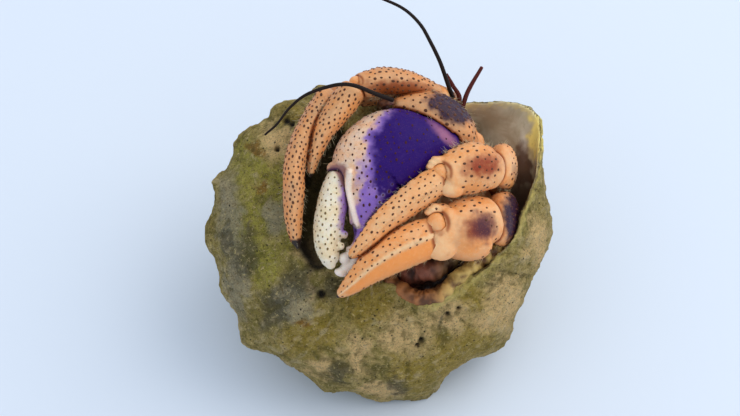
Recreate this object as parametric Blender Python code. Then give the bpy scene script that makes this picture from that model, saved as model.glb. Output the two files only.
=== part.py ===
"""A land hermit crab drawn back into a worn, knobbed turban shell, at life size.

Sizes are in millimetres here and in metres in the meshes. The crab and its shell are laid out in the
mouth frame, whose origin is the middle of the shell: across runs to the right (+X), up runs up the
mouth, and out runs out of it. That frame leans back by MOUTH_LEAN, so out points forward and up.
"""

import math
import random

import bpy
import bmesh
import numpy as np

MM = 0.001
GAP = 0.3
MOUTH_LEAN = math.radians(54.0)
# The mouth frame's origin, from the point of the floor under the middle of the whole.
MOUTH_PLACE = np.array((-0.35, -8.2, 27.6))

# The shell: a spiral round an axis whose base end faces out of the mouth, with the spire behind.
WHORL_RATIO = 1.45
LIP_RADIUS = 34.6
SPIRE_SLOPE = 1.3
AXIS_TILT = math.radians(17.0)
AXIS_TURN = math.radians(-35.0)
AXIS_PLACE = np.array((-0.7, 0.9, 0.0))
SUTURE_BEARING = 124.0
WALL = 2.0
LIP_EDGE = 0.9
LIP_CHIPS = 0.012
WALL_GRID = (39, 12)
WALL_SUNK = 0.35
# Over how many degrees the wall sinks into the solid whorls, and where its edge counts as open.
SINK_RUN = 12.0
OPEN_EDGE = 0.95
CHIP_SEED = 5
# Each solid turn's inner side close to the axis, as reach and rise in radii.
INNER_SIDE = ((0.05, 0.45), (0.05, -0.52))
# The column on the axis: bearing, rise and width at each end.
COLUMN = ((-1500, 0.0, 4.0), (-300, 0.3, 5.0))
TIP_ALONG = (-27.0, -33.0, -35.6, -37.2)
TIP_WIDTHS = (14.0, 13.6, 9.6, 4.0)
WALL_START = -250.0
BODY_END = -235.0
END_SHRINK = 0.985
FOLD_SHARE = 0.3
SHOULDER_AT = 0.36
# How the lip flares: a broad bend and its square upper corner, each by bearing, width and height.
LIP_FLARES = ((-86, 14, 0.13), (-88, 8, 0.045))
FLARE_AT = (0.32, 0.2)
KNOB_DEPTH = 0.1
FOLD_AT = (0.55, 0.22)
# The solid turns of the spiral: where each ends, how far it overlaps the last, its steps and detail.
TURNS = ((0, 0, 56, 13), (-360, 10, 40, 8), (-720, 10, 24, 6))
# Outline of one whorl from the seam over the shoulder to the columella, as parts of its radius.
WHORL_OUTLINE = (
    (0.62, -0.43), (0.70, -0.36), (0.80, -0.24), (0.91, -0.10), (1.00, 0.03), (1.01, 0.15),
    (0.96, 0.30), (0.85, 0.43), (0.68, 0.53), (0.48, 0.58), (0.30, 0.56), (0.17, 0.48),
)
# The last whorl's knobs, each by its bearing back from the lip, half width and height in radii.
KNOBS = (
    (-124, 10, 0.065), (-164, 9, 0.115), (-194, 9, 0.135), (-209, 8, 0.085), (-226, 6, 0.07),
    (-259, 6, 0.085), (-281, 5, 0.04), (-302, 7.5, 0.09), (-321, 7.5, 0.075), (-341, 8, 0.09),
)
KNOB_STEP = 18.5
KNOB_WIDTH = 6.2
KNOB_HEIGHT = 0.065
# The bearing at which the spire's top begins, and how many rows its outline is read in.
SPIRE_TOP = -1100
OUTLINE_ROWS = 89
# How far down the outline the lip edge has come at each bearing.
LIP_PATH = (
    (-250, 1.0), (-222, 1.0), (-212, 0.94), (-202, 0.935), (-190, 0.9), (-184, 0.86), (-178, 0.825),
    (-167, 0.825), (-154, 0.81), (-140, 0.78), (-129, 0.745), (-121, 0.71), (-113, 0.68), (-105, 0.61),
    (-97, 0.455), (-89, 0.33), (-81, 0.28), (-73, 0.2), (-55, 0.12), (-40, 0.07),
)

RIGHT = np.array((1.0, 0.0, 0.0))
UP = np.array((0.0, math.sin(MOUTH_LEAN), math.cos(MOUTH_LEAN)))
OUT = np.array((0.0, -math.cos(MOUTH_LEAN), math.sin(MOUTH_LEAN)))


def clear_scene():
    for old in list(bpy.data.objects):
        bpy.data.objects.remove(old, do_unlink=True)


def to_world(points):
    """Mouth-frame millimetres to world metres."""
    points = np.asarray(points, float)
    return (points @ np.stack((RIGHT, UP, OUT)) + MOUTH_PLACE) * MM


def material(name, colour, roughness):
    """A plain glossy or dull finish in one colour."""
    made = bpy.data.materials.get(name)
    if made:
        return made
    made = bpy.data.materials.new(name)
    made.use_nodes = True
    shader = made.node_tree.nodes["Principled BSDF"]
    shader.inputs["Base Color"].default_value = (*colour, 1.0)
    shader.inputs["Roughness"].default_value = roughness
    shader.inputs["Metallic"].default_value = 0.0
    return made


def finish(body, look):
    """Gives the body its one material."""
    body.data.materials.clear()
    body.data.materials.append(material(*look))


def solid(name, points, faces):
    """A mesh object from mouth-frame points, with its faces turned outwards."""
    mesh = bpy.data.meshes.new(name)
    mesh.from_pydata([tuple(p) for p in to_world(points)], [], [tuple(f) for f in faces])
    made = bpy.data.objects.new(name, mesh)
    bpy.context.scene.collection.objects.link(made)
    work = bmesh.new()
    work.from_mesh(mesh)
    bmesh.ops.triangulate(work, faces=work.faces)
    bmesh.ops.recalc_face_normals(work, faces=work.faces)
    if work.calc_volume(signed=True) < 0:
        bmesh.ops.reverse_faces(work, faces=work.faces)
    work.to_mesh(mesh)
    work.free()
    return made


def boolean(body, pieces, operation):
    """Unites the pieces with the body, or cuts them from it, and removes them."""
    group = bpy.data.collections.new("pieces")
    bpy.context.scene.collection.children.link(group)
    for piece in pieces:
        group.objects.link(piece)
    step = body.modifiers.new(operation.lower(), "BOOLEAN")
    step.operation = operation
    step.operand_type = "COLLECTION"
    step.collection = group
    step.solver = "MANIFOLD"
    bpy.context.view_layer.update()
    graph = bpy.context.evaluated_depsgraph_get()
    done = bpy.data.meshes.new_from_object(body.evaluated_get(graph))
    body.modifiers.clear()
    body.data = done
    for piece in pieces:
        bpy.data.objects.remove(piece, do_unlink=True)
    bpy.data.collections.remove(group)


def islands(work):
    """The separate closed surfaces of a bmesh, as lists of faces."""
    left = set(work.faces)
    found = []
    while left:
        stack = [left.pop()]
        group = list(stack)
        while stack:
            for edge in stack.pop().edges:
                for face in edge.link_faces:
                    if face in left:
                        left.remove(face)
                        stack.append(face)
                        group.append(face)
        found.append(group)
    return found


def keep_largest(body):
    """Drops every loose scrap and sealed hollow, so that one closed surface is left."""
    work = bmesh.new()
    work.from_mesh(body.data)
    groups = islands(work)
    groups.sort(key=lambda group: sum(face.calc_area() for face in group))
    spare = [face for group in groups[:-1] for face in group]
    bmesh.ops.delete(work, geom=spare, context="FACES")
    bmesh.ops.delete(work, geom=[v for v in work.verts if not v.link_faces], context="VERTS")
    work.to_mesh(body.data)
    work.free()


def smooth_run(values, count):
    """A smooth curve through rows of values, read at evenly spaced rows."""
    rows = np.asarray(values, float)
    padded = np.vstack((2 * rows[0] - rows[1], rows, 2 * rows[-1] - rows[-2]))
    spots = np.linspace(0, len(rows) - 1, count)
    cell = np.minimum(spots.astype(int), len(rows) - 2)
    t = (spots - cell)[:, None]
    a, b, c, d = (padded[cell + k] for k in range(4))
    return 0.5 * (2 * b + (c - a) * t + (2 * a - 5 * b + 4 * c - d) * t**2
                  + (3 * b - a - 3 * c + d) * t**3)


def unit(vectors):
    vectors = np.asarray(vectors, float)
    return vectors / np.linalg.norm(vectors, axis=-1, keepdims=True)


# The shell


def shell_axes():
    """Unit vectors of the shell in the mouth frame: its base end and two across the axis."""
    base = np.array((
        math.sin(AXIS_TILT) * math.cos(AXIS_TURN),
        math.sin(AXIS_TILT) * math.sin(AXIS_TURN),
        math.cos(AXIS_TILT),
    ))
    side = np.array((-math.sin(AXIS_TURN), math.cos(AXIS_TURN), 0.0))
    return base, np.cross(side, base), side


def whorl_radius(angle):
    return LIP_RADIUS * WHORL_RATIO ** (np.asarray(angle, float) / 360)


def bell(value, middle, width):
    """A smooth bump, 1 at its middle."""
    return np.exp(-(((value - middle) / width) ** 2))


def knob_list():
    """Every knob's bearing, half width and height, from the lip back to the top of the spire."""
    knobs = list(KNOBS)
    while knobs[-1][0] > SPIRE_TOP:
        knobs.append((knobs[-1][0] - KNOB_STEP, KNOB_WIDTH, KNOB_HEIGHT))
    return knobs


def shell_surface(angle, down):
    """Points of the shell's outside at bearings and places down the whorl's outline."""
    angle, down = np.broadcast_arrays(np.asarray(angle, float), np.asarray(down, float))
    table = smooth_run(WHORL_OUTLINE, OUTLINE_ROWS)
    at = np.linspace(0, 1, len(table))
    reach = np.interp(down, at, table[:, 0])
    rise = np.interp(down, at, table[:, 1])
    radius = whorl_radius(angle)
    flare = sum(height * bell(angle, at, width) for at, width, height in LIP_FLARES) * bell(down, *FLARE_AT)
    bump = np.zeros_like(reach)
    for knob, width, height in knob_list():
        near = height * bell(angle, knob, width)
        bump += near * bell(down, SHOULDER_AT, KNOB_DEPTH)
        bump += FOLD_SHARE * near * bell(down, *FOLD_AT)
    out_of_axis = (reach * (1 + flare) + bump) * radius
    base, first, second = shell_axes()
    along = rise * radius - SPIRE_SLOPE * (LIP_RADIUS - radius)
    bearing = np.radians(SUTURE_BEARING + angle) - AXIS_TURN
    return (AXIS_PLACE + along[..., None] * base
            + (out_of_axis * np.cos(bearing))[..., None] * first
            + (out_of_axis * np.sin(bearing))[..., None] * second)


def axis_point(angle, reach, rise):
    """A point of the spiral by its bearing and its place in the whorl, as parts of its radius."""
    base, first, second = shell_axes()
    radius = float(whorl_radius(angle))
    bearing = math.radians(SUTURE_BEARING + angle) - AXIS_TURN
    along = rise * radius - SPIRE_SLOPE * (LIP_RADIUS - radius)
    return (AXIS_PLACE + along * base + reach * radius * math.cos(bearing) * first
            + reach * radius * math.sin(bearing) * second)


def grid_faces(rows, columns, offset=0, closed=False):
    """Triangles over a grid of points, each square split the same way."""
    faces = []
    for i in range(rows - 1):
        for j in range(columns if closed else columns - 1):
            a = offset + i * columns + j
            b = offset + i * columns + (j + 1) % columns
            faces.append((a, b, b + columns))
            faces.append((a, b + columns, a + columns))
    return faces


def whorl_turn(name, start, end, steps, detail):
    """One solid turn of the spiral, closed on its inner side close to the axis."""
    rows = []
    for angle in np.linspace(start, end, steps + 1):
        skin = shell_surface(angle, np.linspace(0, 1, detail))
        inner = [axis_point(angle, *side) for side in INNER_SIDE]
        rows.append(np.vstack((skin, inner)))
    shrink = rows[-1].mean(axis=0)
    rows[-1] = shrink + (rows[-1] - shrink) * END_SHRINK
    points = np.vstack(rows)
    ring = detail + 2
    faces = grid_faces(steps + 1, ring, closed=True)
    faces.append(tuple(range(ring)))
    faces.append(tuple(len(points) - 1 - k for k in range(ring)))
    return solid(name, points, faces)


def wall_normals(angles, down):
    """Unit vectors out of the shell's outside at a grid of bearings and places down the outline."""
    step = 1e-3
    below = np.minimum(down + step, 1)
    run = shell_surface(angles + 0.1, down) - shell_surface(angles, down)
    drop = shell_surface(angles, below) - shell_surface(angles, below - 2 * step)
    normal = unit(np.cross(drop, run))
    shoulder = down.shape[1] // 3
    outwards = np.mean(np.sum(normal[:, shoulder] * shell_surface(angles, down)[:, shoulder], axis=1))
    return normal if outwards > 0 else -normal


def rim_of_grid(rows, columns):
    """Places of a grid's outer points, in order round it."""
    rim = [row * columns for row in range(rows)]
    rim += [(rows - 1) * columns + column for column in range(1, columns)]
    rim += [row * columns + columns - 1 for row in range(rows - 2, -1, -1)]
    rim += list(range(columns - 2, 0, -1))
    return rim


def outer_wall():
    """The last whorl round the mouth: a thin wall that ends at the lip."""
    rows, columns = WALL_GRID
    angles = np.linspace(WALL_START, LIP_PATH[-1][0], rows)
    edge = np.interp(angles, *zip(*LIP_PATH))
    chip = random.Random(CHIP_SEED)
    open_edge = edge < OPEN_EDGE
    edge = edge + np.array([LIP_CHIPS * (chip.random() - 0.5) for _ in angles]) * open_edge
    share = np.linspace(0, 1, columns)
    down = edge[:, None] * share
    outer = shell_surface(angles[:, None], down)
    normal = wall_normals(angles[:, None], down)
    thick = WALL + (LIP_EDGE - WALL) * share**4 * open_edge[:, None]
    # Where it runs on over the solid whorls it is sunk a little, so that the two make one body.
    sunk = WALL_SUNK * np.clip((BODY_END + SINK_RUN / 4 - angles) / SINK_RUN, 0, 1)
    outer = outer - normal * sunk[:, None, None]
    inner = outer - normal * thick[..., None]
    count = rows * columns
    faces = grid_faces(rows, columns)
    faces += [tuple(reversed(f)) for f in grid_faces(rows, columns, offset=count)]
    rim = rim_of_grid(rows, columns)
    for a, b in zip(rim, rim[1:] + rim[:1]):
        faces.append((a, b, b + count))
        faces.append((a, b + count, a + count))
    return solid("outer_wall", np.vstack((outer.reshape(-1, 3), inner.reshape(-1, 3))), faces)


def spire_tip():
    """The rounded, worn top of the spire, along the shell's axis."""
    base = shell_axes()[0]
    stations = [(*(AXIS_PLACE + along * base), width, width)
                for along, width in zip(TIP_ALONG, TIP_WIDTHS)]
    return tube_solid("spire_tip", stations, rings=7, sides=14)


def build_shell():
    turns = [whorl_turn("shell", BODY_END + turn - 360, BODY_END + turn + lap, steps, detail)
             for turn, lap, steps, detail in TURNS]
    body = turns[0]
    pieces = turns[1:] + [
        tube_solid("column", [(*axis_point(angle, 0, rise), width, width) for angle, rise, width in COLUMN],
                   rings=2, sides=8),
        spire_tip(),
        tube_solid("inner_lip", INNER_LIP, rings=12, sides=8),
        outer_wall(),
    ]
    boolean(body, pieces, "UNION")
    boolean(body, [tube_solid("worn_hollow", WORN_HOLLOW, rings=8, sides=10)], "DIFFERENCE")
    return body


# Limbs


THINNEST = 0.12
CAP_LIFTS = (math.radians(30), math.radians(60))


def ring_points(centre, side, face, half_width, half_depth, count, square):
    """One closed ring round a limb, between an ellipse and a rounded box."""
    turn = np.linspace(0, 2 * math.pi, count, endpoint=False)
    power = 2 / square
    x = np.sign(np.cos(turn)) * np.abs(np.cos(turn)) ** power
    y = np.sign(np.sin(turn)) * np.abs(np.sin(turn)) ** power
    return centre + np.outer(x * half_width, side) + np.outer(y * half_depth, face)


def limb_rings(stations, rings, sides, facing, square, cap, swell):
    """Rings along a smooth path with rounded ends, and the two end points.

    A station is across, up, out, width and depth. The ends bulge by cap times their half size.
    """
    run = smooth_run(stations, rings)
    path = run[:, :3]
    half = np.maximum(run[:, 3:5] / 2, THINNEST) + swell
    heading = unit(np.gradient(path, axis=0))
    face = unit(facing - heading * (heading @ facing)[:, None])
    side = np.cross(heading, face)

    def ring(at, shift=0.0, shrink=1.0):
        centre = path[at] + heading[at] * shift
        return ring_points(centre, side[at], face[at], *(half[at] * shrink), sides, square)

    rows = [ring(at) for at in range(rings)]
    poles = []
    for at, way in ((0, -1), (rings - 1, 1)):
        bulge = way * (cap * half[at].min() + swell)
        cap_rows = [ring(at, bulge * math.sin(lift), math.cos(lift)) for lift in CAP_LIFTS]
        rows = rows + cap_rows if way > 0 else cap_rows[::-1] + rows
        poles.append(path[at] + heading[at] * bulge)
    return rows, poles


def tube_solid(name, stations, rings=8, sides=10, facing=(0, 0, 1), square=2.2, cap=0.6, swell=0.0):
    """A closed limb through its stations."""
    rows, poles = limb_rings(
        np.asarray(stations, float), rings, sides, np.asarray(facing, float), square, cap, swell)
    points = np.vstack(rows + [np.array(poles)])
    faces = grid_faces(len(rows), sides, closed=True)
    last = (len(rows) - 1) * sides
    first_pole, last_pole = len(points) - 2, len(points) - 1
    for j in range(sides):
        after = (j + 1) % sides
        faces.append((first_pole, after, j))
        faces.append((last_pole, last + j, last + after))
    return solid(name, points, faces)


# The wrinkled ridge inside the lower lip, and the hollow worn beside the big claw.
INNER_LIP = (
    (2.0, -7.2, 2.4, 2.6, 3.4), (5.6, -9.3, 4.0, 2.6, 3.6), (8.8, -9.8, 4.4, 2.7, 4.0),
    (12.4, -7.6, 4.0, 2.6, 3.8), (15.8, -4.6, 3.4, 2.6, 3.6), (19.2, -2.4, 2.4, 2.4, 3.2),
    (21.6, -0.4, 1.4, 1.8, 2.6),
)
WORN_HOLLOW = (
    (-5.0, 21.0, 1.0, 6.0, 7.0), (-8.2, 15.0, 2.6, 7.0, 9.0), (-10.4, 7.0, 3.4, 6.4, 9.0),
    (-10.8, 1.0, 5.0, 5.0, 7.0), (-10.0, -3.4, 6.6, 3.0, 4.0),
)

# Every piece of the crab, front pieces first. A later piece is cut clear of the earlier ones.
SKIN = ("crab_orange", (0.78, 0.42, 0.2), 0.45)
CREAM = ("crab_cream", (0.8, 0.68, 0.5), 0.45)
PURPLE = ("crab_purple", (0.2, 0.12, 0.45), 0.4)
FLESH = ("crab_flesh", (0.35, 0.16, 0.1), 0.55)
FEELER = ("crab_feeler", (0.1, 0.03, 0.02), 0.4)
EYE = ("crab_eye", (0.01, 0.01, 0.01), 0.15)
SHELL = ("shell_lime", (0.42, 0.38, 0.22), 0.8)

SIDEWAYS = (1, 0, 0)

HIDDEN = {"rings": 5, "sides": 8}
SLIM = {"rings": 5, "sides": 6}

LIMBS = {
    "left_leg2_propodus": (SKIN, [
        (18.9, 11.9, 7.0, 6.6, 7.0), (15.8, 12.2, 9.2, 8.4, 7.6), (11.8, 10.9, 10.8, 7.0, 6.6)], {}),
    "left_leg3_propodus": (SKIN, [
        (18.5, 3.5, 6.8, 8.0, 7.0), (15.0, 2.4, 9.0, 9.4, 7.8), (9.6, 0.3, 10.8, 7.0, 6.2)], {}),
    "left_leg2_dactyl": (SKIN, [
        (11.2, 11.0, 11.0, 5.2, 4.6), (5.4, 6.8, 12.4, 4.8, 4.6), (1.0, 3.2, 13.0, 4.0, 4.0),
        (-1.6, 0.3, 13.4, 3.1, 3.2), (-3.7, -1.8, 13.2, 1.9, 2.1), (-4.8, -2.9, 12.7, 0.7, 0.8)], {}),
    "left_leg3_dactyl": (SKIN, [
        (9.6, 1.0, 11.2, 6.6, 5.0), (3.5, -1.6, 12.6, 6.6, 5.2), (-0.8, -4.3, 12.8, 5.2, 4.4),
        (-4.9, -7.8, 12.0, 2.6, 2.8), (-6.9, -9.5, 11.2, 0.7, 0.8)], {}),
    "left_claw_finger": (CREAM, [
        (-6.9, 10.6, 8.8, 3.8, 5.2), (-7.5, 7.6, 9.6, 4.9, 5.5), (-8.4, 3.0, 10.4, 5.0, 5.4),
        (-8.7, -0.6, 10.8, 4.2, 4.6), (-8.2, -3.2, 11.0, 3.0, 3.4), (-7.9, -4.4, 11.0, 1.6, 1.8)], {}),
    "left_claw_palm": (PURPLE, [
        (12.0, 15.7, 5.6, 5.8, 6.4), (7.8, 15.8, 6.8, 10.8, 9.4), (3.4, 15.0, 7.6, 15.2, 10.6),
        (-0.8, 12.6, 8.2, 14.4, 10.2), (-0.7, 8.8, 8.5, 10.2, 8.8), (-1.2, 4.2, 8.9, 7.0, 7.0),
        (-2.1, -0.4, 9.3, 4.4, 5.2), (-4.2, -3.6, 9.6, 3.0, 3.6), (-6.7, -5.6, 9.8, 1.2, 1.6)],
        {"rings": 14, "sides": 12}),
    "left_claw_carpus": (SKIN, [
        (3.2, 23.0, 5.2, 2.8, 5.0), (6.2, 22.8, 4.8, 5.0, 6.8), (10.0, 21.5, 4.5, 6.2, 7.8),
        (13.2, 19.0, 3.7, 5.8, 8.0), (15.2, 16.8, 2.4, 3.6, 5.8)], {}),
    "right_leg2_dactyl": (SKIN, [
        (-4.5, 25.1, 8.2, 4.8, 5.0), (-7.0, 21.7, 9.2, 4.2, 4.6), (-9.2, 18.6, 9.4, 3.4, 3.8),
        (-10.5, 15.4, 9.0, 2.5, 2.8), (-11.2, 12.8, 8.5, 1.6, 1.8), (-11.4, 10.8, 8.0, 0.6, 0.7)], {}),
    "right_leg3_dactyl": (SKIN, [
        (-8.6, 24.4, 4.8, 3.8, 4.4), (-10.7, 21.0, 7.0, 3.7, 4.6), (-12.9, 17.0, 8.8, 3.4, 4.3),
        (-14.1, 12.8, 9.8, 3.4, 4.0), (-14.2, 8.6, 10.2, 3.4, 3.6), (-14.3, 4.3, 10.0, 2.9, 3.0),
        (-14.0, 0.8, 9.4, 2.0, 2.2), (-13.5, -1.3, 8.8, 0.7, 0.8)], {"rings": 10}),
    "right_leg2_propodus": (SKIN, [
        (9.2, 25.2, 1.4, 3.6, 5.4), (4.8, 26.7, 4.2, 4.4, 6.0), (0.8, 27.1, 6.2, 4.6, 6.0),
        (-2.8, 26.2, 7.2, 4.4, 5.6)], {}),
    "right_leg3_propodus": (SKIN, [
        (5.0, 25.2, -3.0, 3.6, 4.6), (-0.6, 25.0, -1.0, 4.2, 4.8), (-6.8, 24.9, 2.8, 3.8, 4.8)], HIDDEN),
    "left_leg2_carpus": (SKIN, [
        (20.6, 12.8, 5.6, 7.0, 4.2), (21.3, 12.6, 2.8, 7.8, 4.8), (21.6, 12.1, 0.2, 7.4, 4.6),
        (21.4, 10.8, -2.0, 6.0, 4.2)], {"facing": SIDEWAYS, "rings": 6, "sides": 10}),
    "left_leg3_carpus": (SKIN, [
        (20.4, 3.6, 5.4, 8.8, 4.4), (21.4, 3.6, 2.6, 9.6, 4.8), (22.0, 3.6, -0.6, 8.8, 4.8),
        (21.8, 3.4, -2.4, 6.4, 4.4)], {"facing": SIDEWAYS, "rings": 6, "sides": 10}),
    "right_leg2_carpus": (SKIN, [
        (10.0, 25.0, -0.4, 3.6, 4.4), (12.2, 23.8, -4.6, 3.8, 4.0), (13.4, 21.6, -7.0, 3.6, 3.8)], HIDDEN),
    "right_leg3_carpus": (SKIN, [
        (6.0, 25.2, -4.8, 3.6, 4.0), (7.6, 23.8, -7.6, 3.8, 3.8), (9.2, 21.6, -8.8, 3.6, 3.6)], HIDDEN),
    "left_claw_merus": (SKIN, [
        (15.4, 17.0, 0.0, 5.6, 5.6), (15.8, 12.6, -0.2, 6.0, 5.4), (15.0, 9.4, -1.8, 5.0, 4.8)], HIDDEN),
    "left_leg2_merus": (SKIN, [
        (21.2, 10.4, -3.8, 5.0, 4.2), (19.4, 9.2, -8.2, 4.8, 4.0)],
        {"facing": SIDEWAYS, "rings": 3, "sides": 8}),
    "left_leg3_merus": (SKIN, [
        (21.4, 3.0, -4.2, 5.0, 4.2), (19.6, 2.6, -8.6, 4.8, 4.0)],
        {"facing": SIDEWAYS, "rings": 3, "sides": 8}),
    "right_leg2_merus": (SKIN, [
        (14.0, 20.4, -7.6, 3.6, 3.4), (15.8, 17.0, -8.4, 4.2, 3.6), (17.2, 13.0, -8.6, 3.8, 3.2)], HIDDEN),
    "right_leg3_merus": (SKIN, [
        (9.8, 20.4, -9.0, 3.4, 3.2), (11.8, 17.4, -8.4, 3.8, 3.4), (13.2, 13.4, -8.4, 3.4, 3.2)], HIDDEN),
    "carapace": (SKIN, [
        (8.4, 17.8, -3.2, 8.0, 4.6), (12.0, 14.8, -4.8, 10.6, 6.8), (14.6, 9.6, -6.2, 12.0, 7.6),
        (15.6, 4.2, -7.4, 11.0, 7.2)], {"rings": 7, "sides": 12}),
    "left_antenna_base": (FLESH, [(11.2, 18.0, -2.6, 2.4, 2.4), (12.8, 23.8, -0.9, 1.6, 1.6)],
                          {"rings": 2, "sides": 8}),
    "right_antenna_base": (FLESH, [
        (6.2, 17.6, -2.6, 2.2, 2.2), (3.4, 20.8, -1.4, 1.9, 1.9), (0.7, 22.7, 2.4, 1.7, 1.7),
        (0.8, 23.2, 6.6, 1.6, 1.6), (2.3, 23.5, 9.2, 1.4, 1.4)], {"rings": 9, "sides": 8}),
    "left_antenna": (FEELER, [
        (12.8, 24.4, -0.7, 0.9, 0.9), (12.0, 26.5, 0.1, 0.85, 0.85), (10.6, 30.4, 0.8, 0.8, 0.8),
        (8.9, 33.9, 1.2, 0.75, 0.75), (7.2, 36.8, 1.4, 0.7, 0.7), (4.6, 39.3, 1.4, 0.65, 0.65),
        (1.2, 41.0, 1.2, 0.6, 0.6), (-3.0, 42.4, 1.0, 0.52, 0.52), (-7.6, 43.2, 0.8, 0.44, 0.44)],
        {"rings": 22, "sides": 6}),
    "right_antenna": (FEELER, [
        (2.4, 23.7, 9.6, 0.9, 0.9), (-0.5, 24.7, 11.6, 0.85, 0.85), (-3.9, 26.0, 12.8, 0.8, 0.8),
        (-6.5, 26.2, 12.8, 0.75, 0.75), (-9.6, 25.5, 12.2, 0.7, 0.7), (-12.5, 24.3, 11.6, 0.62, 0.62),
        (-15.0, 22.2, 11.4, 0.55, 0.55), (-17.0, 19.6, 11.6, 0.5, 0.5),
        (-19.0, 17.8, 12.0, 0.44, 0.44)], {"rings": 20, "sides": 6}),
    "left_antennule": (FEELER, [
        (12.8, 17.0, -3.4, 1.2, 1.2), (14.2, 21.6, -2.6, 1.0, 1.0), (15.4, 25.4, -2.8, 0.9, 0.9),
        (17.8, 29.6, -3.0, 0.7, 0.7)],
        {"rings": 7, "sides": 6}),
    "right_antennule": (FEELER, [
        (11.2, 17.0, -3.8, 1.1, 1.1), (12.9, 21.0, -3.7, 0.9, 0.9), (14.0, 24.2, -2.5, 0.9, 0.9),
        (12.9, 26.4, -2.6, 0.8, 0.8), (11.8, 28.4, -3.0, 0.6, 0.6)],
        {"rings": 6, "sides": 6}),
    "left_eye": (EYE, [(9.0, 22.0, -2.2, 1.7, 1.7), (9.0, 23.0, -2.1, 1.5, 1.5)], {"rings": 3, "sides": 8}),
    "right_eye": (EYE, [(6.8, 22.0, -2.2, 1.7, 1.7), (6.7, 23.0, -2.1, 1.5, 1.5)], {"rings": 3, "sides": 8}),
    "left_eyestalk": (SKIN, [(9.1, 18.0, -2.6, 1.4, 1.6), (9.0, 21.4, -2.3, 1.5, 1.7)],
                      {"rings": 3, "sides": 8}),
    "right_eyestalk": (SKIN, [(7.1, 18.0, -2.6, 1.4, 1.6), (6.8, 21.4, -2.3, 1.5, 1.7)],
                       {"rings": 3, "sides": 8}),
    "left_maxilliped": (FLESH, [
        (10.8, 16.2, -1.6, 2.2, 2.0), (10.0, 12.8, -0.6, 2.4, 2.2), (9.0, 9.6, -0.2, 1.4, 1.4)], SLIM),
    "right_maxilliped": (FLESH, [
        (8.0, 16.4, -1.8, 2.2, 2.0), (7.0, 12.6, -1.0, 2.4, 2.2), (6.4, 9.6, -0.6, 1.4, 1.4)], SLIM),
    "right_claw_palm": (SKIN, [
        (12.6, 6.4, 2.2, 4.4, 4.4), (10.0, 5.0, 3.4, 6.2, 5.4), (6.8, 3.4, 4.4, 5.6, 5.0),
        (4.0, 1.6, 4.8, 3.2, 3.4), (2.0, 0.2, 5.0, 1.0, 1.4)], {"rings": 7, "sides": 8}),
    "right_claw_finger": (CREAM, [
        (6.0, -0.4, 4.4, 2.6, 3.2), (3.4, -1.6, 5.0, 2.2, 2.6), (1.2, -2.0, 5.2, 0.9, 1.2)], SLIM),
    "right_claw_carpus": (SKIN, [
        (14.6, 7.0, 1.4, 5.0, 4.6), (16.6, 6.2, -0.8, 5.0, 4.6)], {"rings": 4, "sides": 8}),
    "right_claw_merus": (SKIN, [
        (17.4, 4.8, -2.2, 4.2, 4.0), (17.2, 2.2, -3.4, 4.4, 4.2), (16.4, 1.2, -5.0, 3.8, 3.6)], HIDDEN),
    "left_leg4": (SKIN, [
        (19.4, 0.6, -6.2, 3.0, 2.8), (20.4, -3.8, -4.6, 2.8, 2.6), (18.8, -7.6, -2.8, 1.8, 1.8)], SLIM),
    "right_leg4": (SKIN, [
        (12.6, 1.0, -5.2, 3.0, 2.8), (10.8, -3.0, -3.8, 2.8, 2.6), (9.2, -6.0, -3.2, 1.8, 1.8)], SLIM),
    "abdomen": (FLESH, [
        (15.4, -0.6, -8.6, 9.0, 7.0), (13.2, -4.6, -9.4, 10.4, 8.0), (10.0, -8.4, -10.0, 10.6, 8.2),
        (5.4, -11.2, -10.4, 9.8, 7.8), (0.2, -12.4, -10.4, 7.6, 6.4), (-4.6, -12.6, -10.0, 4.0, 4.0)],
        {"rings": 9, "sides": 10}),
}


# The blunt teeth along the big claw's edges: each root, crown, and their widths.
CLAW_TEETH = {
    "left_claw_finger": [((-7.2, 1.2, 11.2), (-5.6, 0.8, 11.3), 1.9, 0.9)],
    "left_claw_palm": [
        ((-3.2, 0.2, 9.9), (-4.6, -0.2, 10.3), 1.4, 0.7),
        ((-3.3, -1.2, 10.0), (-5.2, -1.5, 10.5), 1.6, 0.9),
        ((-4.0, -2.6, 9.9), (-6.2, -3.0, 10.6), 2.3, 1.6),
    ],
}


def claw_teeth(name):
    return [tube_solid("tooth", [(*root, wide, wide), (*crown, narrow, narrow)], rings=2, sides=6)
            for root, crown, wide, narrow in CLAW_TEETH[name]]


def near(first, second, reach):
    """Whether two boxes, each as low and high corners, come within reach of each other."""
    return bool(np.all(first[0] - reach < second[1]) and np.all(second[0] - reach < first[1]))


def box_of(body):
    corners = np.array([tuple(v.co) for v in body.data.vertices]) / MM
    return corners.min(axis=0), corners.max(axis=0)


def build_crab():
    """Makes the limbs in order, each cut clear of those before it."""
    made = {}
    for name, (look, stations, how) in LIMBS.items():
        body = tube_solid(name, stations, **how)
        if name in CLAW_TEETH:
            boolean(body, claw_teeth(name), "UNION")
        bounds = box_of(body)
        cutters = []
        for other, (_, other_stations, other_how) in LIMBS.items():
            if other == name:
                break
            if near(bounds, box_of(made[other]), GAP):
                cutters.append(tube_solid("cutter", other_stations, swell=GAP, **other_how))
        if cutters:
            boolean(body, cutters, "DIFFERENCE")
            keep_largest(body)
        finish(body, look)
        made[name] = body
    return made


GROUND_SIZE = 200.0


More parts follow.
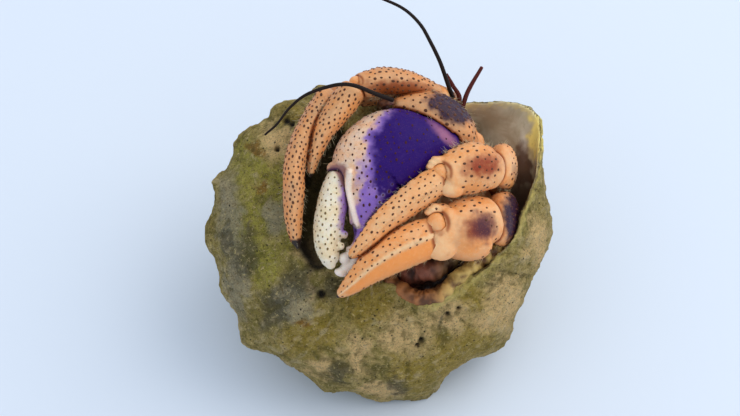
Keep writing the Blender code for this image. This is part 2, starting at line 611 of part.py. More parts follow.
def lay_on_floor(body):
    """Cuts the lowest knobs to small flats at the floor."""
    corners = [GROUND_SIZE * (np.array(c) - 1.0) for c in (
        (0, 0, 0), (2, 0, 0), (2, 2, 0), (0, 2, 0), (0, 0, 1), (2, 0, 1), (2, 2, 1), (0, 2, 1))]
    mesh = bpy.data.meshes.new("ground")
    faces = [(0, 3, 2, 1), (4, 5, 6, 7), (0, 1, 5, 4), (1, 2, 6, 5), (2, 3, 7, 6), (3, 0, 4, 7)]
    mesh.from_pydata([tuple(c * MM) for c in corners], [], faces)
    ground = bpy.data.objects.new("ground", mesh)
    bpy.context.scene.collection.objects.link(ground)
    boolean(body, [ground], "DIFFERENCE")


def build():
    clear_scene()
    build_crab()
    shell = build_shell()
    cutters = [tube_solid("cutter", stations, swell=GAP, **how)
               for _, stations, how in LIMBS.values()]
    boolean(shell, cutters, "DIFFERENCE")
    lay_on_floor(shell)
    keep_largest(shell)
    finish(shell, SHELL)


build()
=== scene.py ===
"""Looks of a land hermit crab drawn back into a worn, knobbed turban shell.

Sizes are in millimetres in the mouth frame: across runs to the right, up runs up the mouth and out
runs out of it, towards the eye. Meshes are in metres, in the frame that the solids stand in.
"""

import math
import random

import bmesh
import bpy
import numpy as np
from mathutils import Matrix, Vector, kdtree, noise
from mathutils.bvhtree import BVHTree


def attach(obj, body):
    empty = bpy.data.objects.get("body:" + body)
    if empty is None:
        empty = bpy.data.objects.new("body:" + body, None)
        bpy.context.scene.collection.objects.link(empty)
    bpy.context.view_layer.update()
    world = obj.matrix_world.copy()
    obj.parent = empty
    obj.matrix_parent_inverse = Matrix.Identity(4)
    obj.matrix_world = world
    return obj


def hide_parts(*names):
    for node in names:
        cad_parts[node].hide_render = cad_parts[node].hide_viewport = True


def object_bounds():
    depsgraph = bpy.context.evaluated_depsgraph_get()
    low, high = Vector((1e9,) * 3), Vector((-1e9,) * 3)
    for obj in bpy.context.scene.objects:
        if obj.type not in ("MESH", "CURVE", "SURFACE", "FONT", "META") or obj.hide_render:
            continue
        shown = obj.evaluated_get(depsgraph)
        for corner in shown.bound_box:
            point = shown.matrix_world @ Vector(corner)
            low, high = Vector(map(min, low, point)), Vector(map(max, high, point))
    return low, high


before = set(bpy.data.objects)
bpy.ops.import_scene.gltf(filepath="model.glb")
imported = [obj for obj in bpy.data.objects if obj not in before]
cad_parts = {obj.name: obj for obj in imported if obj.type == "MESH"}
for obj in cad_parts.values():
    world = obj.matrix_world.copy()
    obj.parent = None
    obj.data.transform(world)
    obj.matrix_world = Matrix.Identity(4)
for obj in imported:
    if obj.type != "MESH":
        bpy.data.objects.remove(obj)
solid_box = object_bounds()

MM = 0.001
GAP = 0.3
MOUTH_LEAN = math.radians(54.0)
MOUTH_PLACE = np.array((-0.35, -8.2, 27.6))
RIGHT = np.array((1.0, 0.0, 0.0))
UP = np.array((0.0, math.sin(MOUTH_LEAN), math.cos(MOUTH_LEAN)))
OUT = np.array((0.0, -math.cos(MOUTH_LEAN), math.sin(MOUTH_LEAN)))
MOUTH_AXES = np.stack((RIGHT, UP, OUT))

# The eye: where it aims in the mouth frame, how far off it is and its lens.
EYE_AIM = (-1.37, 5.47)
EYE_DISTANCE = 700.0
SENSOR_WIDTH = 36.0
VIEW_WIDTH = 126.54

# The shell, with the same sizes as its solid.
WHORL_RATIO = 1.45
LIP_RADIUS = 34.6
SPIRE_SLOPE = 1.3
AXIS_TILT = math.radians(17.0)
AXIS_TURN = math.radians(-35.0)
AXIS_PLACE = np.array((-0.7, 0.9, 0.0))
SUTURE_BEARING = 124.0
# The last whorl: how thick its wall and its lip are, how far the lip is chipped, the bearing where
# the wall starts and the one where the solid whorls end.
WALL = 2.0
LIP_EDGE = 0.9
LIP_CHIPS = 0.012
WALL_START = -250.0
BODY_END = -235.0
FOLD_SHARE = 0.3
SHOULDER_AT = 0.36
LIP_FLARES = ((-86, 14, 0.13), (-88, 8, 0.045))
FLARE_AT = (0.32, 0.2)
KNOB_DEPTH = 0.1
FOLD_AT = (0.55, 0.22)
INNER_SIDE = ((0.05, 0.45), (0.05, -0.52))
TIP_ALONG = (-27.0, -33.0, -35.6, -37.2)
TIP_WIDTHS = (14.0, 13.6, 9.6, 4.0)
# The whorl's outline from the suture down: reach and rise as parts of its radius.
WHORL_OUTLINE = (
    (0.62, -0.43), (0.70, -0.36), (0.80, -0.24), (0.91, -0.10), (1.00, 0.03), (1.01, 0.15),
    (0.96, 0.30), (0.85, 0.43), (0.68, 0.53), (0.48, 0.58), (0.30, 0.56), (0.17, 0.48),
)
# The knobs: bearing, half width and height. Beyond them even ones go on up the spire.
KNOBS = (
    (-124, 10, 0.065), (-164, 9, 0.115), (-194, 9, 0.135), (-209, 8, 0.085), (-226, 6, 0.07),
    (-259, 6, 0.085), (-281, 5, 0.04), (-302, 7.5, 0.09), (-321, 7.5, 0.075), (-341, 8, 0.09),
)
# Where the wall round the mouth stops short of this place down the outline, it has an open edge.
OPEN_EDGE = 0.95
OUTLINE_ROWS = 89
LAST_KNOB = -1100
KNOB_STEP = 18.5
KNOB_WIDTH = 6.2
KNOB_HEIGHT = 0.065
# How far down the outline the wall goes at each bearing.
LIP_PATH = (
    (-250, 1.0), (-222, 1.0), (-212, 0.94), (-202, 0.935), (-190, 0.9), (-184, 0.86), (-178, 0.825),
    (-167, 0.825), (-154, 0.81), (-140, 0.78), (-129, 0.745), (-121, 0.71), (-113, 0.68), (-105, 0.61),
    (-97, 0.455), (-89, 0.33), (-81, 0.28), (-73, 0.2), (-55, 0.12), (-40, 0.07),
)
# The inner lip's ridge and the worn hollow beside the claw: places across, up and out, width and depth.
INNER_LIP = (
    (2.0, -7.2, 2.4, 2.6, 3.4), (5.6, -9.3, 4.0, 2.6, 3.6), (8.8, -9.8, 4.4, 2.7, 4.0),
    (12.4, -7.6, 4.0, 2.6, 3.8), (15.8, -4.6, 3.4, 2.6, 3.6), (19.2, -2.4, 2.4, 2.4, 3.2),
    (21.6, -0.4, 1.4, 1.8, 2.6),
)
WORN_HOLLOW = (
    (-5.0, 21.0, 1.0, 6.0, 7.0), (-8.2, 15.0, 2.6, 7.0, 9.0), (-10.4, 7.0, 3.4, 6.4, 9.0),
    (-10.8, 1.0, 5.0, 5.0, 7.0), (-10.0, -3.4, 6.6, 3.0, 4.0),
)


# Points and meshes

NOISE_SHIFT = (17.3, 5.1, 9.7)
NOISE_ROUGHNESS = 0.9
NOISE_SCALING = 2.1


def to_world(points):
    """Mouth-frame millimetres to metres in the row's frame."""
    return (np.asarray(points, float) @ MOUTH_AXES + MOUTH_PLACE) * MM


def to_mouth(points):
    """Metres in the row's frame to mouth-frame millimetres."""
    return (np.asarray(points, float) / MM - MOUTH_PLACE) @ MOUTH_AXES.T


def unit(vectors):
    vectors = np.asarray(vectors, float)
    return vectors / np.maximum(np.linalg.norm(vectors, axis=-1, keepdims=True), 1e-9)


def smooth_step(value, low, high):
    share = np.clip((np.asarray(value, float) - low) / (high - low), 0, 1)
    return share * share * (3 - 2 * share)


def bell(value, middle, width):
    """A smooth bump, 1 at its middle."""
    return np.exp(-(((value - middle) / width) ** 2))


def oval_reach(points, across, up, wide, tall):
    """How far points lie from an oval's middle, as parts of its half sizes."""
    return np.hypot((points[:, 0] - across) / wide, (points[:, 1] - up) / tall)


def smooth_run(values, count):
    """A smooth curve through rows of values, read at evenly spaced rows."""
    rows = np.asarray(values, float)
    padded = np.vstack((2 * rows[0] - rows[1], rows, 2 * rows[-1] - rows[-2]))
    spots = np.linspace(0, len(rows) - 1, count)
    cell = np.minimum(spots.astype(int), len(rows) - 2)
    t = (spots - cell)[:, None]
    a, b, c, d = (padded[cell + k] for k in range(4))
    return 0.5 * (2 * b + (c - a) * t + (2 * a - 5 * b + 4 * c - d) * t**2
                  + (3 * b - a - 3 * c + d) * t**3)


def wander(points, size, seed=0.0, octaves=3):
    """Smooth random values, about -1 to 1, over points, with forms of the given size."""
    shift = Vector([seed * part for part in NOISE_SHIFT])
    return np.array([noise.fractal(Vector(p) / size + shift, NOISE_ROUGHNESS, NOISE_SCALING, octaves)
                     for p in points])


def mesh_from(name, points, faces):
    """A mesh object from mouth-frame points and triangles."""
    mesh = bpy.data.meshes.new(name)
    a, b, c = (points[faces[:, k]] for k in range(3))
    if (a * np.cross(b, c)).sum() < 0:
        faces = faces[:, ::-1]
    faces = np.ascontiguousarray(faces, np.int32)
    mesh.vertices.add(len(points))
    mesh.vertices.foreach_set("co", to_world(points).astype(np.float32).ravel())
    mesh.loops.add(faces.size)
    mesh.loops.foreach_set("vertex_index", faces.ravel())
    mesh.polygons.add(len(faces))
    mesh.polygons.foreach_set("loop_start", np.arange(0, faces.size, 3, dtype=np.int32))
    mesh.update(calc_edges=True)
    mesh.validate()
    made = bpy.data.objects.new(name, mesh)
    bpy.context.scene.collection.objects.link(made)
    return made


def table(rows, field, wide, kind=np.float32):
    """One field of a mesh's rows, as an array of the given width."""
    flat = np.empty(len(rows) * wide, kind)
    rows.foreach_get(field, flat)
    return flat.reshape(-1, wide)


def points_of(piece):
    """The piece's points in the mouth frame."""
    return to_mouth(table(piece.data.vertices, "co", 3))


def normals_of(piece):
    return table(piece.data.vertex_normals, "vector", 3) @ MOUTH_AXES.T


def faces_of(piece):
    """The piece's triangles, as rows of point numbers."""
    piece.data.calc_loop_triangles()
    return table(piece.data.loop_triangles, "vertices", 3, np.int32)


def values_of(piece, key):
    """One stored value for each of the piece's points."""
    return table(piece.data.attributes[key].data, "value", 1).ravel()


def put_points(piece, places):
    """Moves the piece's points to places in metres in the row's frame."""
    piece.data.vertices.foreach_set("co", places.astype(np.float32).ravel())
    piece.data.update()


def move_points(piece, points):
    """Moves the piece's points to mouth-frame places."""
    put_points(piece, to_world(points))


def store(piece, marks):
    """Stores named values for each point, for the finish to read."""
    for name, values in marks.items():
        layer = piece.data.attributes.new(name, "FLOAT", "POINT")
        layer.data.foreach_set("value", np.asarray(values, np.float32))


def deselect_all():
    for other in bpy.context.selected_objects:
        other.select_set(False)


def alone(piece):
    """Leaves only this piece selected and active."""
    deselect_all()
    piece.select_set(True)
    bpy.context.view_layer.objects.active = piece


def worked(piece, kind, **settings):
    """Adds a modifier to the piece and applies it."""
    step = piece.modifiers.new(kind.lower(), kind)
    for name, value in settings.items():
        setattr(step, name, value)
    alone(piece)
    bpy.ops.object.modifier_apply(modifier=step.name)


def evened(piece, voxel):
    """Remeshes a piece to an even fineness in millimetres and softens it."""
    worked(piece, "REMESH", mode="VOXEL", voxel_size=voxel * MM)
    worked(piece, "SMOOTH", factor=0.5, iterations=2)


def outwards(piece):
    """Turns a closed piece's faces outwards."""
    alone(piece)
    bpy.ops.object.mode_set(mode="EDIT")
    bpy.ops.mesh.select_all(action="SELECT")
    bpy.ops.mesh.normals_make_consistent(inside=False)
    bpy.ops.object.mode_set(mode="OBJECT")
    return piece


def combine(piece, others, operation):
    """Adds closed pieces to this one, or cuts them from it, and removes them."""
    group = bpy.data.collections.new("others")
    bpy.context.scene.collection.children.link(group)
    for other in others:
        group.objects.link(other)
    worked(piece, "BOOLEAN", operation=operation, operand_type="COLLECTION", collection=group,
           solver="MANIFOLD")
    for other in others:
        bpy.data.objects.remove(other, do_unlink=True)
    bpy.data.collections.remove(group)


def united(name, bodies, base=None):
    """One closed piece from several closed bodies that overlap, with any base piece."""
    pieces = [base] if base else []
    pieces += [mesh_from(name, *body) for body in bodies]
    if len(pieces) > 1:
        combine(pieces[0], pieces[1:], "UNION")
    return pieces[0]


def keep_largest(piece):
    """Drops loose scraps, so that one closed surface is left."""
    work = bmesh.new()
    work.from_mesh(piece.data)
    left = set(work.faces)
    groups = []
    while left:
        stack = [left.pop()]
        group = list(stack)
        while stack:
            for edge in stack.pop().edges:
                for face in edge.link_faces:
                    if face in left:
                        left.remove(face)
                        stack.append(face)
                        group.append(face)
        groups.append(group)
    groups.sort(key=len)
    spare = [face for group in groups[:-1] for face in group]
    if spare:
        bmesh.ops.delete(work, geom=spare, context="FACES")
        bmesh.ops.delete(work, geom=[v for v in work.verts if not v.link_faces], context="VERTS")
        work.to_mesh(piece.data)
    work.free()


def tree_of(points, numbers):
    """A search tree over numbered points."""
    tree = kdtree.KDTree(len(points))
    for spot, number in zip(points, numbers):
        tree.insert(spot, number)
    tree.balance()
    return tree


def round_piece(name, segments, rings):
    """A new round piece of radius 1, and its points."""
    deselect_all()
    bpy.ops.mesh.primitive_uv_sphere_add(segments=segments, ring_count=rings, radius=1.0)
    piece = bpy.context.object
    piece.name = name
    return piece, np.array([tuple(v.co) for v in piece.data.vertices])


def dress(piece, finish, slot, *nodes):
    """Gives a finished piece its material and its body, and hides the solids of the nodes that it stands for;
    the slot is not used.
    """
    piece.data.materials.clear()
    piece.data.materials.append(finish)
    piece.data.shade_smooth()
    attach(piece, "root")
    if nodes:
        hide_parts(*nodes)
    return piece


# Finishes

PLATE_MARKS = ("deep", "mid", "cream", "ring", "dot", "horn", "bare", "painted_shade", "pink")
PLATE_TONES = {
    "crab_orange": {
        "base": (0.8, 0.32, 0.1), "pale": (0.82, 0.41, 0.18), "deep": (0.03, 0.009, 0.028),
        "mid": (0.27, 0.03, 0.004), "cream": (0.86, 0.58, 0.32), "ring": (0.7, 0.5, 0.3),
        "dot": (0.09, 0.028, 0.01), "horn": (0.02, 0.009, 0.006), "bare": (0.84, 0.26, 0.04),
        "painted_shade": (0.3, 0.07, 0.015), "pink": (0.8, 0.3, 0.16),
    },
    "claw_violet": {
        "base": (0.79, 0.46, 0.27), "pale": (0.8, 0.58, 0.42), "deep": (0.022, 0.003, 0.125),
        "mid": (0.24, 0.13, 0.48), "cream": (0.87, 0.76, 0.66), "ring": (0.42, 0.32, 0.56),
        "dot": (0.06, 0.014, 0.016), "horn": (0.03, 0.015, 0.01), "bare": (0.2, 0.07, 0.08),
        "painted_shade": (0.05, 0.016, 0.05), "pink": (0.42, 0.16, 0.26),
    },
    "claw_cream": {
        "base": (0.76, 0.6, 0.38), "pale": (0.82, 0.73, 0.56), "deep": (0.1, 0.05, 0.08),
        "mid": (0.26, 0.13, 0.4), "cream": (0.88, 0.82, 0.7), "ring": (0.7, 0.6, 0.5),
        "dot": (0.15, 0.085, 0.02), "horn": (0.3, 0.2, 0.12), "bare": (0.6, 0.4, 0.2),
        "painted_shade": (0.3, 0.13, 0.12), "pink": (0.7, 0.4, 0.4),
    },
}
SHELL_MARKS = ("green", "dark", "pale", "yellow", "rust", "grey", "relief", "inside", "lip", "shade", "painted_hole_shade")
SHELL_TONES = {
    "brown": (0.2, 0.155, 0.03), "tan": (0.48, 0.36, 0.11), "olive": (0.34, 0.27, 0.07),
    "yellow": (0.37, 0.25, 0.025), "dark_weed": (0.17, 0.15, 0.02), "light_weed": (0.5, 0.45, 0.06),
    "grey": (0.34, 0.31, 0.22), "pale": (0.9, 0.6, 0.27), "rust": (0.32, 0.14, 0.02),
    "dark": (0.07, 0.065, 0.04), "groove": (0.10, 0.078, 0.014), "crest": (0.64, 0.5, 0.28),
    "dark_grain": (0.13, 0.085, 0.018), "light_grain": (0.84, 0.64, 0.28), "speck": (0.05, 0.038, 0.014),
    "pit": (0.02, 0.014, 0.006), "painted_hole_shade": (0.012, 0.008, 0.004),
    "dark_pearl": (0.4, 0.33, 0.22), "light_pearl": (0.58, 0.52, 0.38), "pearl_streak": (0.46, 0.41, 0.28),
    "painted_highlight": (0.82, 0.76, 0.64), "shaded_pearl": (0.1, 0.048, 0.03), "pearl_fleck": (0.2, 0.14, 0.09),
    "lip": (0.95, 0.76, 0.22), "lip_stain": (0.45, 0.28, 0.06),
}


class Line:
    """A socket of a finish that arithmetic can be written with."""

    def __init__(self, finish, socket):
        self.finish = finish
        self.socket = socket

    def __add__(self, other):
        return self.finish.maths("ADD", self, other)

    def __radd__(self, other):
        return self.finish.maths("ADD", other, self)

    def __sub__(self, other):
        return self.finish.maths("SUBTRACT", self, other)

    def __rsub__(self, other):
        return self.finish.maths("SUBTRACT", other, self)

    def __mul__(self, other):
        return self.finish.maths("MULTIPLY", self, other)

    def __rmul__(self, other):
        return self.finish.maths("MULTIPLY", other, self)


class Finish:
    """A material whose nodes are added by plain calls."""

    def __init__(self, name, fixed):
        self.material = bpy.data.materials.new(name)
        self.material.use_nodes = True
        self.tree = self.material.node_tree
        self.shader = self.tree.nodes["Principled BSDF"]
        for socket, value in fixed.items():
            self.shader.inputs[socket].default_value = value
        self.object_place = self.node("ShaderNodeTexCoord", {}, {}, "Object")

    def node(self, kind, settings, inputs, output=0):
        """Adds a node, sets it, feeds its sockets and gives back one output."""
        made = self.tree.nodes.new(kind)
        for name, value in settings.items():
            setattr(made, name, value)
        for name, value in inputs.items():
            self.feed(made.inputs[name], value)
        return Line(self, made.outputs[output])

    def feed(self, socket, value):
        if isinstance(value, Line):
            self.tree.links.new(value.socket, socket)
        elif socket.type == "RGBA":
            socket.default_value = (*value, 1.0)
        else:
            socket.default_value = value

    def maths(self, operation, first, second):
        return self.node("ShaderNodeMath", {"operation": operation}, {0: first, 1: second})

    def step(self, value, low, high):
        """Goes smoothly from 0 to 1 as value goes from low to high."""
        return self.node("ShaderNodeMapRange", {"interpolation_type": "SMOOTHSTEP"},
                         {"Value": value, "From Min": low, "From Max": high})

    def mark(self, name):
        """A value that the piece stores for each of its points."""
        return self.node("ShaderNodeAttribute", {"attribute_name": name}, {}, "Fac")

    def grain(self, size, detail=3.0, rough=0.55, warp=0.0, place=None):
        """Cloudy values with forms of a size in millimetres."""
        return self.node("ShaderNodeTexNoise", {}, {
            "Vector": place or self.object_place, "Scale": 1 / (size * MM), "Detail": detail,
            "Roughness": rough, "Distortion": warp})

    def cells(self, size):
        """Distance from the nearest of scattered points, a size in millimetres apart."""
        return self.node("ShaderNodeTexVoronoi", {"feature": "F1"}, {
            "Vector": self.object_place, "Scale": 1 / (size * MM)})

    def stretched(self, across, along):
        """Object places squeezed along one axis, for streaks."""
        return self.node("ShaderNodeMapping", {}, {
            "Vector": self.object_place, "Scale": (across, across, along)})

    def mix(self, share, first, second):
        return self.node("ShaderNodeMix", {"data_type": "RGBA", "blend_type": "MIX"},
                         {0: share, 6: first, 7: second}, 2)

    def raised(self, height, depth, strength=1.0, under=None):
        """A bump from a height, its depth in millimetres."""
        inputs = {"Strength": strength, "Distance": depth * MM, "Height": height}
        if under is not None:
            inputs["Normal"] = under
        return self.node("ShaderNodeBump", {}, inputs)

    def done(self, colour, roughness, normal=None):
        self.feed(self.shader.inputs["Base Color"], colour)
        self.feed(self.shader.inputs["Roughness"], roughness)
        if normal is not None:
            self.feed(self.shader.inputs["Normal"], normal)
        return self.material


def plate_finish(name, gloss=0.12):
    """Satin crab skin: its own tone, darker patches, cream, dark tubercles, bare folds, horny tips and
    painted shade.
    """
    tone = PLATE_TONES[name]
    look = Finish(name, {"Coat Weight": gloss, "Coat Roughness": 0.3, "Specular IOR Level": 2 * gloss,
                         "Subsurface Weight": 0.1, "Subsurface Radius": (1.0, 0.4, 0.2),
                         "Subsurface Scale": 0.0006})
    marks = {key: look.mark(key) for key in PLATE_MARKS}
    broad = look.grain(2.6, 4, 0.6, 0.3)
    fine = look.grain(0.5, 5, 0.7)
    freckle = look.grain(0.16, 2, 0.5)
    colour = look.mix(look.step(broad, 0.4, 0.64), tone["base"], tone["pale"])
    colour = look.mix(look.step(fine, 0.5, 0.72) * 0.4, colour, tone["cream"])
    colour = look.mix(look.step(fine, 0.46, 0.3) * 0.35, colour, tone["bare"])
    colour = look.mix(marks["cream"], colour, tone["cream"])
    colour = look.mix(look.step(marks["bare"] + broad * 0.6 - 0.3, 0.1, 0.9) * 0.85, colour, tone["bare"])
    colour = look.mix(look.step(marks["mid"] + broad * 0.8 - 0.4, 0.0, 1.0), colour, tone["mid"])
    colour = look.mix(look.step(marks["deep"] + broad * 0.6 - 0.3, 0.0, 1.0), colour, tone["deep"])
    colour = look.mix(marks["pink"], colour, tone["pink"])
    colour = look.mix(marks["ring"], colour, tone["ring"])
    colour = look.mix(look.step(freckle, 0.6, 0.72) * 0.3, colour, tone["bare"])
    # Painted shade: the skin darkened between limbs, on their flanks, over whole shaded limbs, on two propodi
    # and round the sockets.
    colour = look.mix(look.step(marks["painted_shade"] + broad * 0.4 - 0.2, 0.0, 1.0), colour, tone["painted_shade"])
    colour = look.mix(look.step(marks["horn"] + fine * 0.2 - 0.1, 0.2, 0.8), colour, tone["horn"])
    colour = look.mix(look.step(marks["dot"], 0.05, 0.6), colour, tone["dot"])
    skin = look.raised(fine, 0.06, 0.7)
    skin = look.raised(look.cells(0.3), 0.03, 0.5, skin)
    return look.done(colour, 0.36 + fine * 0.24, skin)


def lime_colour(look, marks, patch, fine, pit):
    """The colour of the shell's outside: mottled lime with stains, growths, grain and pits."""
    tone = SHELL_TONES
    mottle = patch * 0.6 + fine * 0.4

    def stained(colour, key, share, second, cloud=mottle, low=0.05, high=0.95):
        return look.mix(look.step(marks[key] + cloud * 3.0 - 1.5, low, high) * share, colour, second)

    broad = look.grain(6.0, 4, 0.6, 0.6)
    speck = look.grain(0.28, 3, 0.6)
    relief = marks["relief"] + fine * 0.5
    weed = look.mix(look.step(fine, 0.38, 0.6), tone["dark_weed"], tone["light_weed"])
    colour = look.mix(look.step(mottle, 0.42, 0.58), tone["brown"], tone["tan"])
    colour = look.mix(look.step(broad, 0.42, 0.62) * 0.4, colour, tone["olive"])
    colour = stained(colour, "yellow", 0.75, tone["yellow"])
    colour = stained(colour, "green", 0.85, weed)
    colour = stained(colour, "grey", 0.75, tone["grey"])
    colour = stained(colour, "pale", 0.9, tone["pale"], low=-0.2, high=1.3)
    colour = stained(colour, "rust", 0.8, tone["rust"], cloud=fine)
    colour = stained(colour, "dark", 0.75, tone["dark"])
    colour = look.mix(look.step(relief, 0.72, 0.38) * 0.6, colour, tone["groove"])
    colour = look.mix(look.step(relief, 0.82, 1.2) * 0.55, colour, tone["crest"])
    colour = look.mix(look.step(fine, 0.54, 0.66) * (0.75 - marks["pale"] * 0.3), colour, tone["dark_grain"])
    colour = look.mix(look.step(fine, 0.46, 0.35) * 0.65, colour, tone["light_grain"])
    colour = look.mix(look.step(speck, 0.55, 0.66) * 0.6, colour, tone["speck"])
    return look.mix(pit * 0.9, colour, tone["pit"]), speck


def pearl_colour(look, marks, fine, streak):
    """The colour of the shell's inside: streaked pearl, with a painted highlight and painted shade deep in
    the mouth.
    """
    tone = SHELL_TONES
    broad = look.grain(6.0, 4, 0.6, 0.6)
    pearl = look.mix(look.step(broad, 0.36, 0.62), tone["dark_pearl"], tone["light_pearl"])
    pearl = look.mix(look.step(streak, 0.42, 0.68) * 0.6, pearl, tone["pearl_streak"])
    # A painted highlight where the inside is marked pale.
    pearl = look.mix(marks["pale"] * 0.8, pearl, tone["painted_highlight"])
    # Painted shade deep in the mouth.
    pearl = look.mix(look.step(marks["shade"] + streak * 0.5 - 0.25, 0.1, 0.9) * 0.9, pearl,
                     tone["shaded_pearl"])
    return look.mix(look.step(fine, 0.58, 0.7) * 0.25, pearl, tone["pearl_fleck"])


def shell_finish():
    """Old lime shell: tan and olive mottling, dark growths, pits, a pearly inside, painted shade in its deep
    gaps and pinholes, and a painted highlight inside.
    """
    look = Finish("worn_turban_shell", {"Specular IOR Level": 0.25, "Coat Roughness": 0.12})
    marks = {key: look.mark(key) for key in SHELL_MARKS}
    patch = look.grain(2.0, 7, 0.7, 1.2)
    fine = look.grain(0.7, 6, 0.78, 0.4)
    streak = look.grain(1.6, 4, 0.6, 0.3, look.stretched(1.0, 0.3))
    pit = look.step(look.cells(1.1), 0.2, 0.1) * look.step(look.grain(3.6, 2, 0.5), 0.5, 0.6)
    colour, speck = lime_colour(look, marks, patch, fine, pit)
    colour = look.mix(marks["inside"], colour, pearl_colour(look, marks, fine, streak))
    edge = look.mix(look.step(fine, 0.5, 0.7) * 0.5, SHELL_TONES["lip"], SHELL_TONES["lip_stain"])
    colour = look.mix(marks["lip"], colour, edge)
    # Painted shade, nearly black, in the worn hollow, behind the legs and in the pinholes.
    colour = look.mix(marks["painted_hole_shade"], colour, SHELL_TONES["painted_hole_shade"])
    outside = 1 - marks["inside"]
    rough = look.maths("MAXIMUM", 0.8 - marks["inside"] * 0.6, 0.16)
    bump = look.raised(patch * outside, 1.0, 1.0)
    bump = look.raised(fine * outside, 0.6, 1.0, bump)
    bump = look.raised((1 - pit) * outside, 0.3, 0.8, bump)
    bump = look.raised(speck * outside, 0.1, 0.9, bump)
    bump = look.raised(streak * marks["inside"], 0.12, 0.5, bump)
    look.feed(look.shader.inputs["Coat Weight"], marks["inside"] * 0.6)
    return look.done(colour, rough, bump)


def wrinkled_finish(name, groove, crest, tan):
    """Wrinkled skin or horn: dark in its grooves and lighter on its crests."""
    look = Finish(name, {"Specular IOR Level": 0.35, "Coat Weight": 0.08, "Coat Roughness": 0.3})
    fine = look.grain(0.6, 5, 0.7, 0.5)
    light = look.mix(look.mark("tan"), crest, tan)
    colour = look.mix(look.step(look.mark("relief") + fine * 0.6 - 0.3, 0.05, 0.95), groove, light)
    colour = look.mix(look.step(fine, 0.56, 0.7) * 0.6, colour, groove)
    return look.done(colour, 0.42 + fine * 0.2, look.raised(fine, 0.12, 0.8))


def plain_finish(name, dark, light, roughness, size, coat=0.0, depth=0.03):
    """A lightly mottled finish between two tones."""
    look = Finish(name, {"Coat Weight": coat, "Coat Roughness": 0.15})
    cloud = look.grain(size, 4, 0.6)
    colour = look.mix(look.step(cloud, 0.36, 0.66), dark, light)
    return look.done(colour, roughness + cloud * 0.1, look.raised(cloud, depth, 0.6))


def feeler_finish():
    """Dark rings along a feeler, red on the short ones."""
    look = Finish("feeler_rings", {"Coat Weight": 0.04, "Coat Roughness": 0.3, "Specular IOR Level": 0.12})
    band = look.mark("band")
    base = look.mix(look.mark("red"), (0.014, 0.007, 0.005), (0.13, 0.018, 0.012))
    colour = look.mix(band * 0.7, base, (0.008, 0.004, 0.003))
    return look.done(colour, 0.42 + band * 0.15)


# The shell


def shell_axes():
    """Unit vectors of the shell: its base end and two across the axis."""
    base = np.array((
        math.sin(AXIS_TILT) * math.cos(AXIS_TURN),
        math.sin(AXIS_TILT) * math.sin(AXIS_TURN),
        math.cos(AXIS_TILT),
    ))
    side = np.array((-math.sin(AXIS_TURN), math.cos(AXIS_TURN), 0.0))
    return base, np.cross(side, base), side


def whorl_radius(angle):
    return LIP_RADIUS * WHORL_RATIO ** (np.asarray(angle, float) / 360)


def knob_list():
    """Every knob's bearing, half width and height, from the lip back to the top of the spire."""
    knobs = list(KNOBS)
    while knobs[-1][0] > LAST_KNOB:
        knobs.append((knobs[-1][0] - KNOB_STEP, KNOB_WIDTH, KNOB_HEIGHT))
    return knobs


def axis_places(angle, reach, rise):
    """Points of the spiral by bearing and place in the whorl, as parts of its radius."""
    base, first, second = shell_axes()
    radius = whorl_radius(angle)
    bearing = np.radians(SUTURE_BEARING + np.asarray(angle, float)) - AXIS_TURN
    along = rise * radius - SPIRE_SLOPE * (LIP_RADIUS - radius)
    return (AXIS_PLACE + along[..., None] * base
            + (reach * radius * np.cos(bearing))[..., None] * first
            + (reach * radius * np.sin(bearing))[..., None] * second)


def shell_surface(angle, down):
    """Points of the shell's outside at bearings and places down the whorl's outline."""
    angle, down = np.broadcast_arrays(np.asarray(angle, float), np.asarray(down, float))
    outline = smooth_run(WHORL_OUTLINE, OUTLINE_ROWS)
    at = np.linspace(0, 1, len(outline))
    reach = np.interp(down, at, outline[:, 0])
    rise = np.interp(down, at, outline[:, 1])
    flare = sum(height * bell(angle, lip, width) for lip, width, height in LIP_FLARES) * bell(down, *FLARE_AT)
    bump = np.zeros_like(reach)
    for knob, width, height in knob_list():
        near = height * bell(angle, knob, width)
        bump += near * bell(down, SHOULDER_AT, KNOB_DEPTH)
        bump += FOLD_SHARE * near * bell(down, *FOLD_AT)
    return axis_places(angle, reach * (1 + flare) + bump, rise)


def ring_faces(rows, columns):
    """Triangles over rows of points that each close into a ring."""
    row, column = np.meshgrid(np.arange(rows - 1), np.arange(columns), indexing="ij")
    a = (row * columns + column).ravel()
    b = (row * columns + (column + 1) % columns).ravel()
    return np.vstack((np.stack((a, b, b + columns), 1), np.stack((a, b + columns, a + columns), 1)))


def capped(rows):
    """Points and triangles of a closed body through closed rings of points."""
    count = len(rows[0])
    points = np.vstack(rows + [rows[0].mean(axis=0)[None], rows[-1].mean(axis=0)[None]])
    first, last = len(points) - 2, len(points) - 1
    j = np.arange(count)
    after = (j + 1) % count
    low = (len(rows) - 1) * count
    ends = np.vstack((np.stack((np.full(count, first), after, j), 1),
                      np.stack((np.full(count, last), low + j, low + after), 1)))
    return points, np.vstack((ring_faces(len(rows), count), ends))


def whorl_turn(start, end, step, detail):
    """One solid turn of the spiral, closed on its inner side close to the axis."""
    rows = []
    for angle in np.linspace(start, end, int((end - start) / step) + 1):
        skin = shell_surface(angle, np.linspace(0, 1, detail))
        inner = np.array([axis_places(np.float64(angle), *side) for side in INNER_SIDE])
        rows.append(np.vstack((skin, inner)))
    return capped(rows)


def wall_normals(angles, down):
    """Unit vectors out of the shell's outside at a grid of bearings and places down the outline."""
    step = 1e-3
    below = np.minimum(down + step, 1)
    run = shell_surface(angles + 0.1, down) - shell_surface(angles, down)
    drop = shell_surface(angles, below) - shell_surface(angles, below - 2 * step)
    normal = unit(np.cross(drop, run))
    shoulder = down.shape[1] // 3
    outwards_sum = np.sum(normal[:, shoulder] * shell_surface(angles, down)[:, shoulder])
    return normal if outwards_sum > 0 else -normal


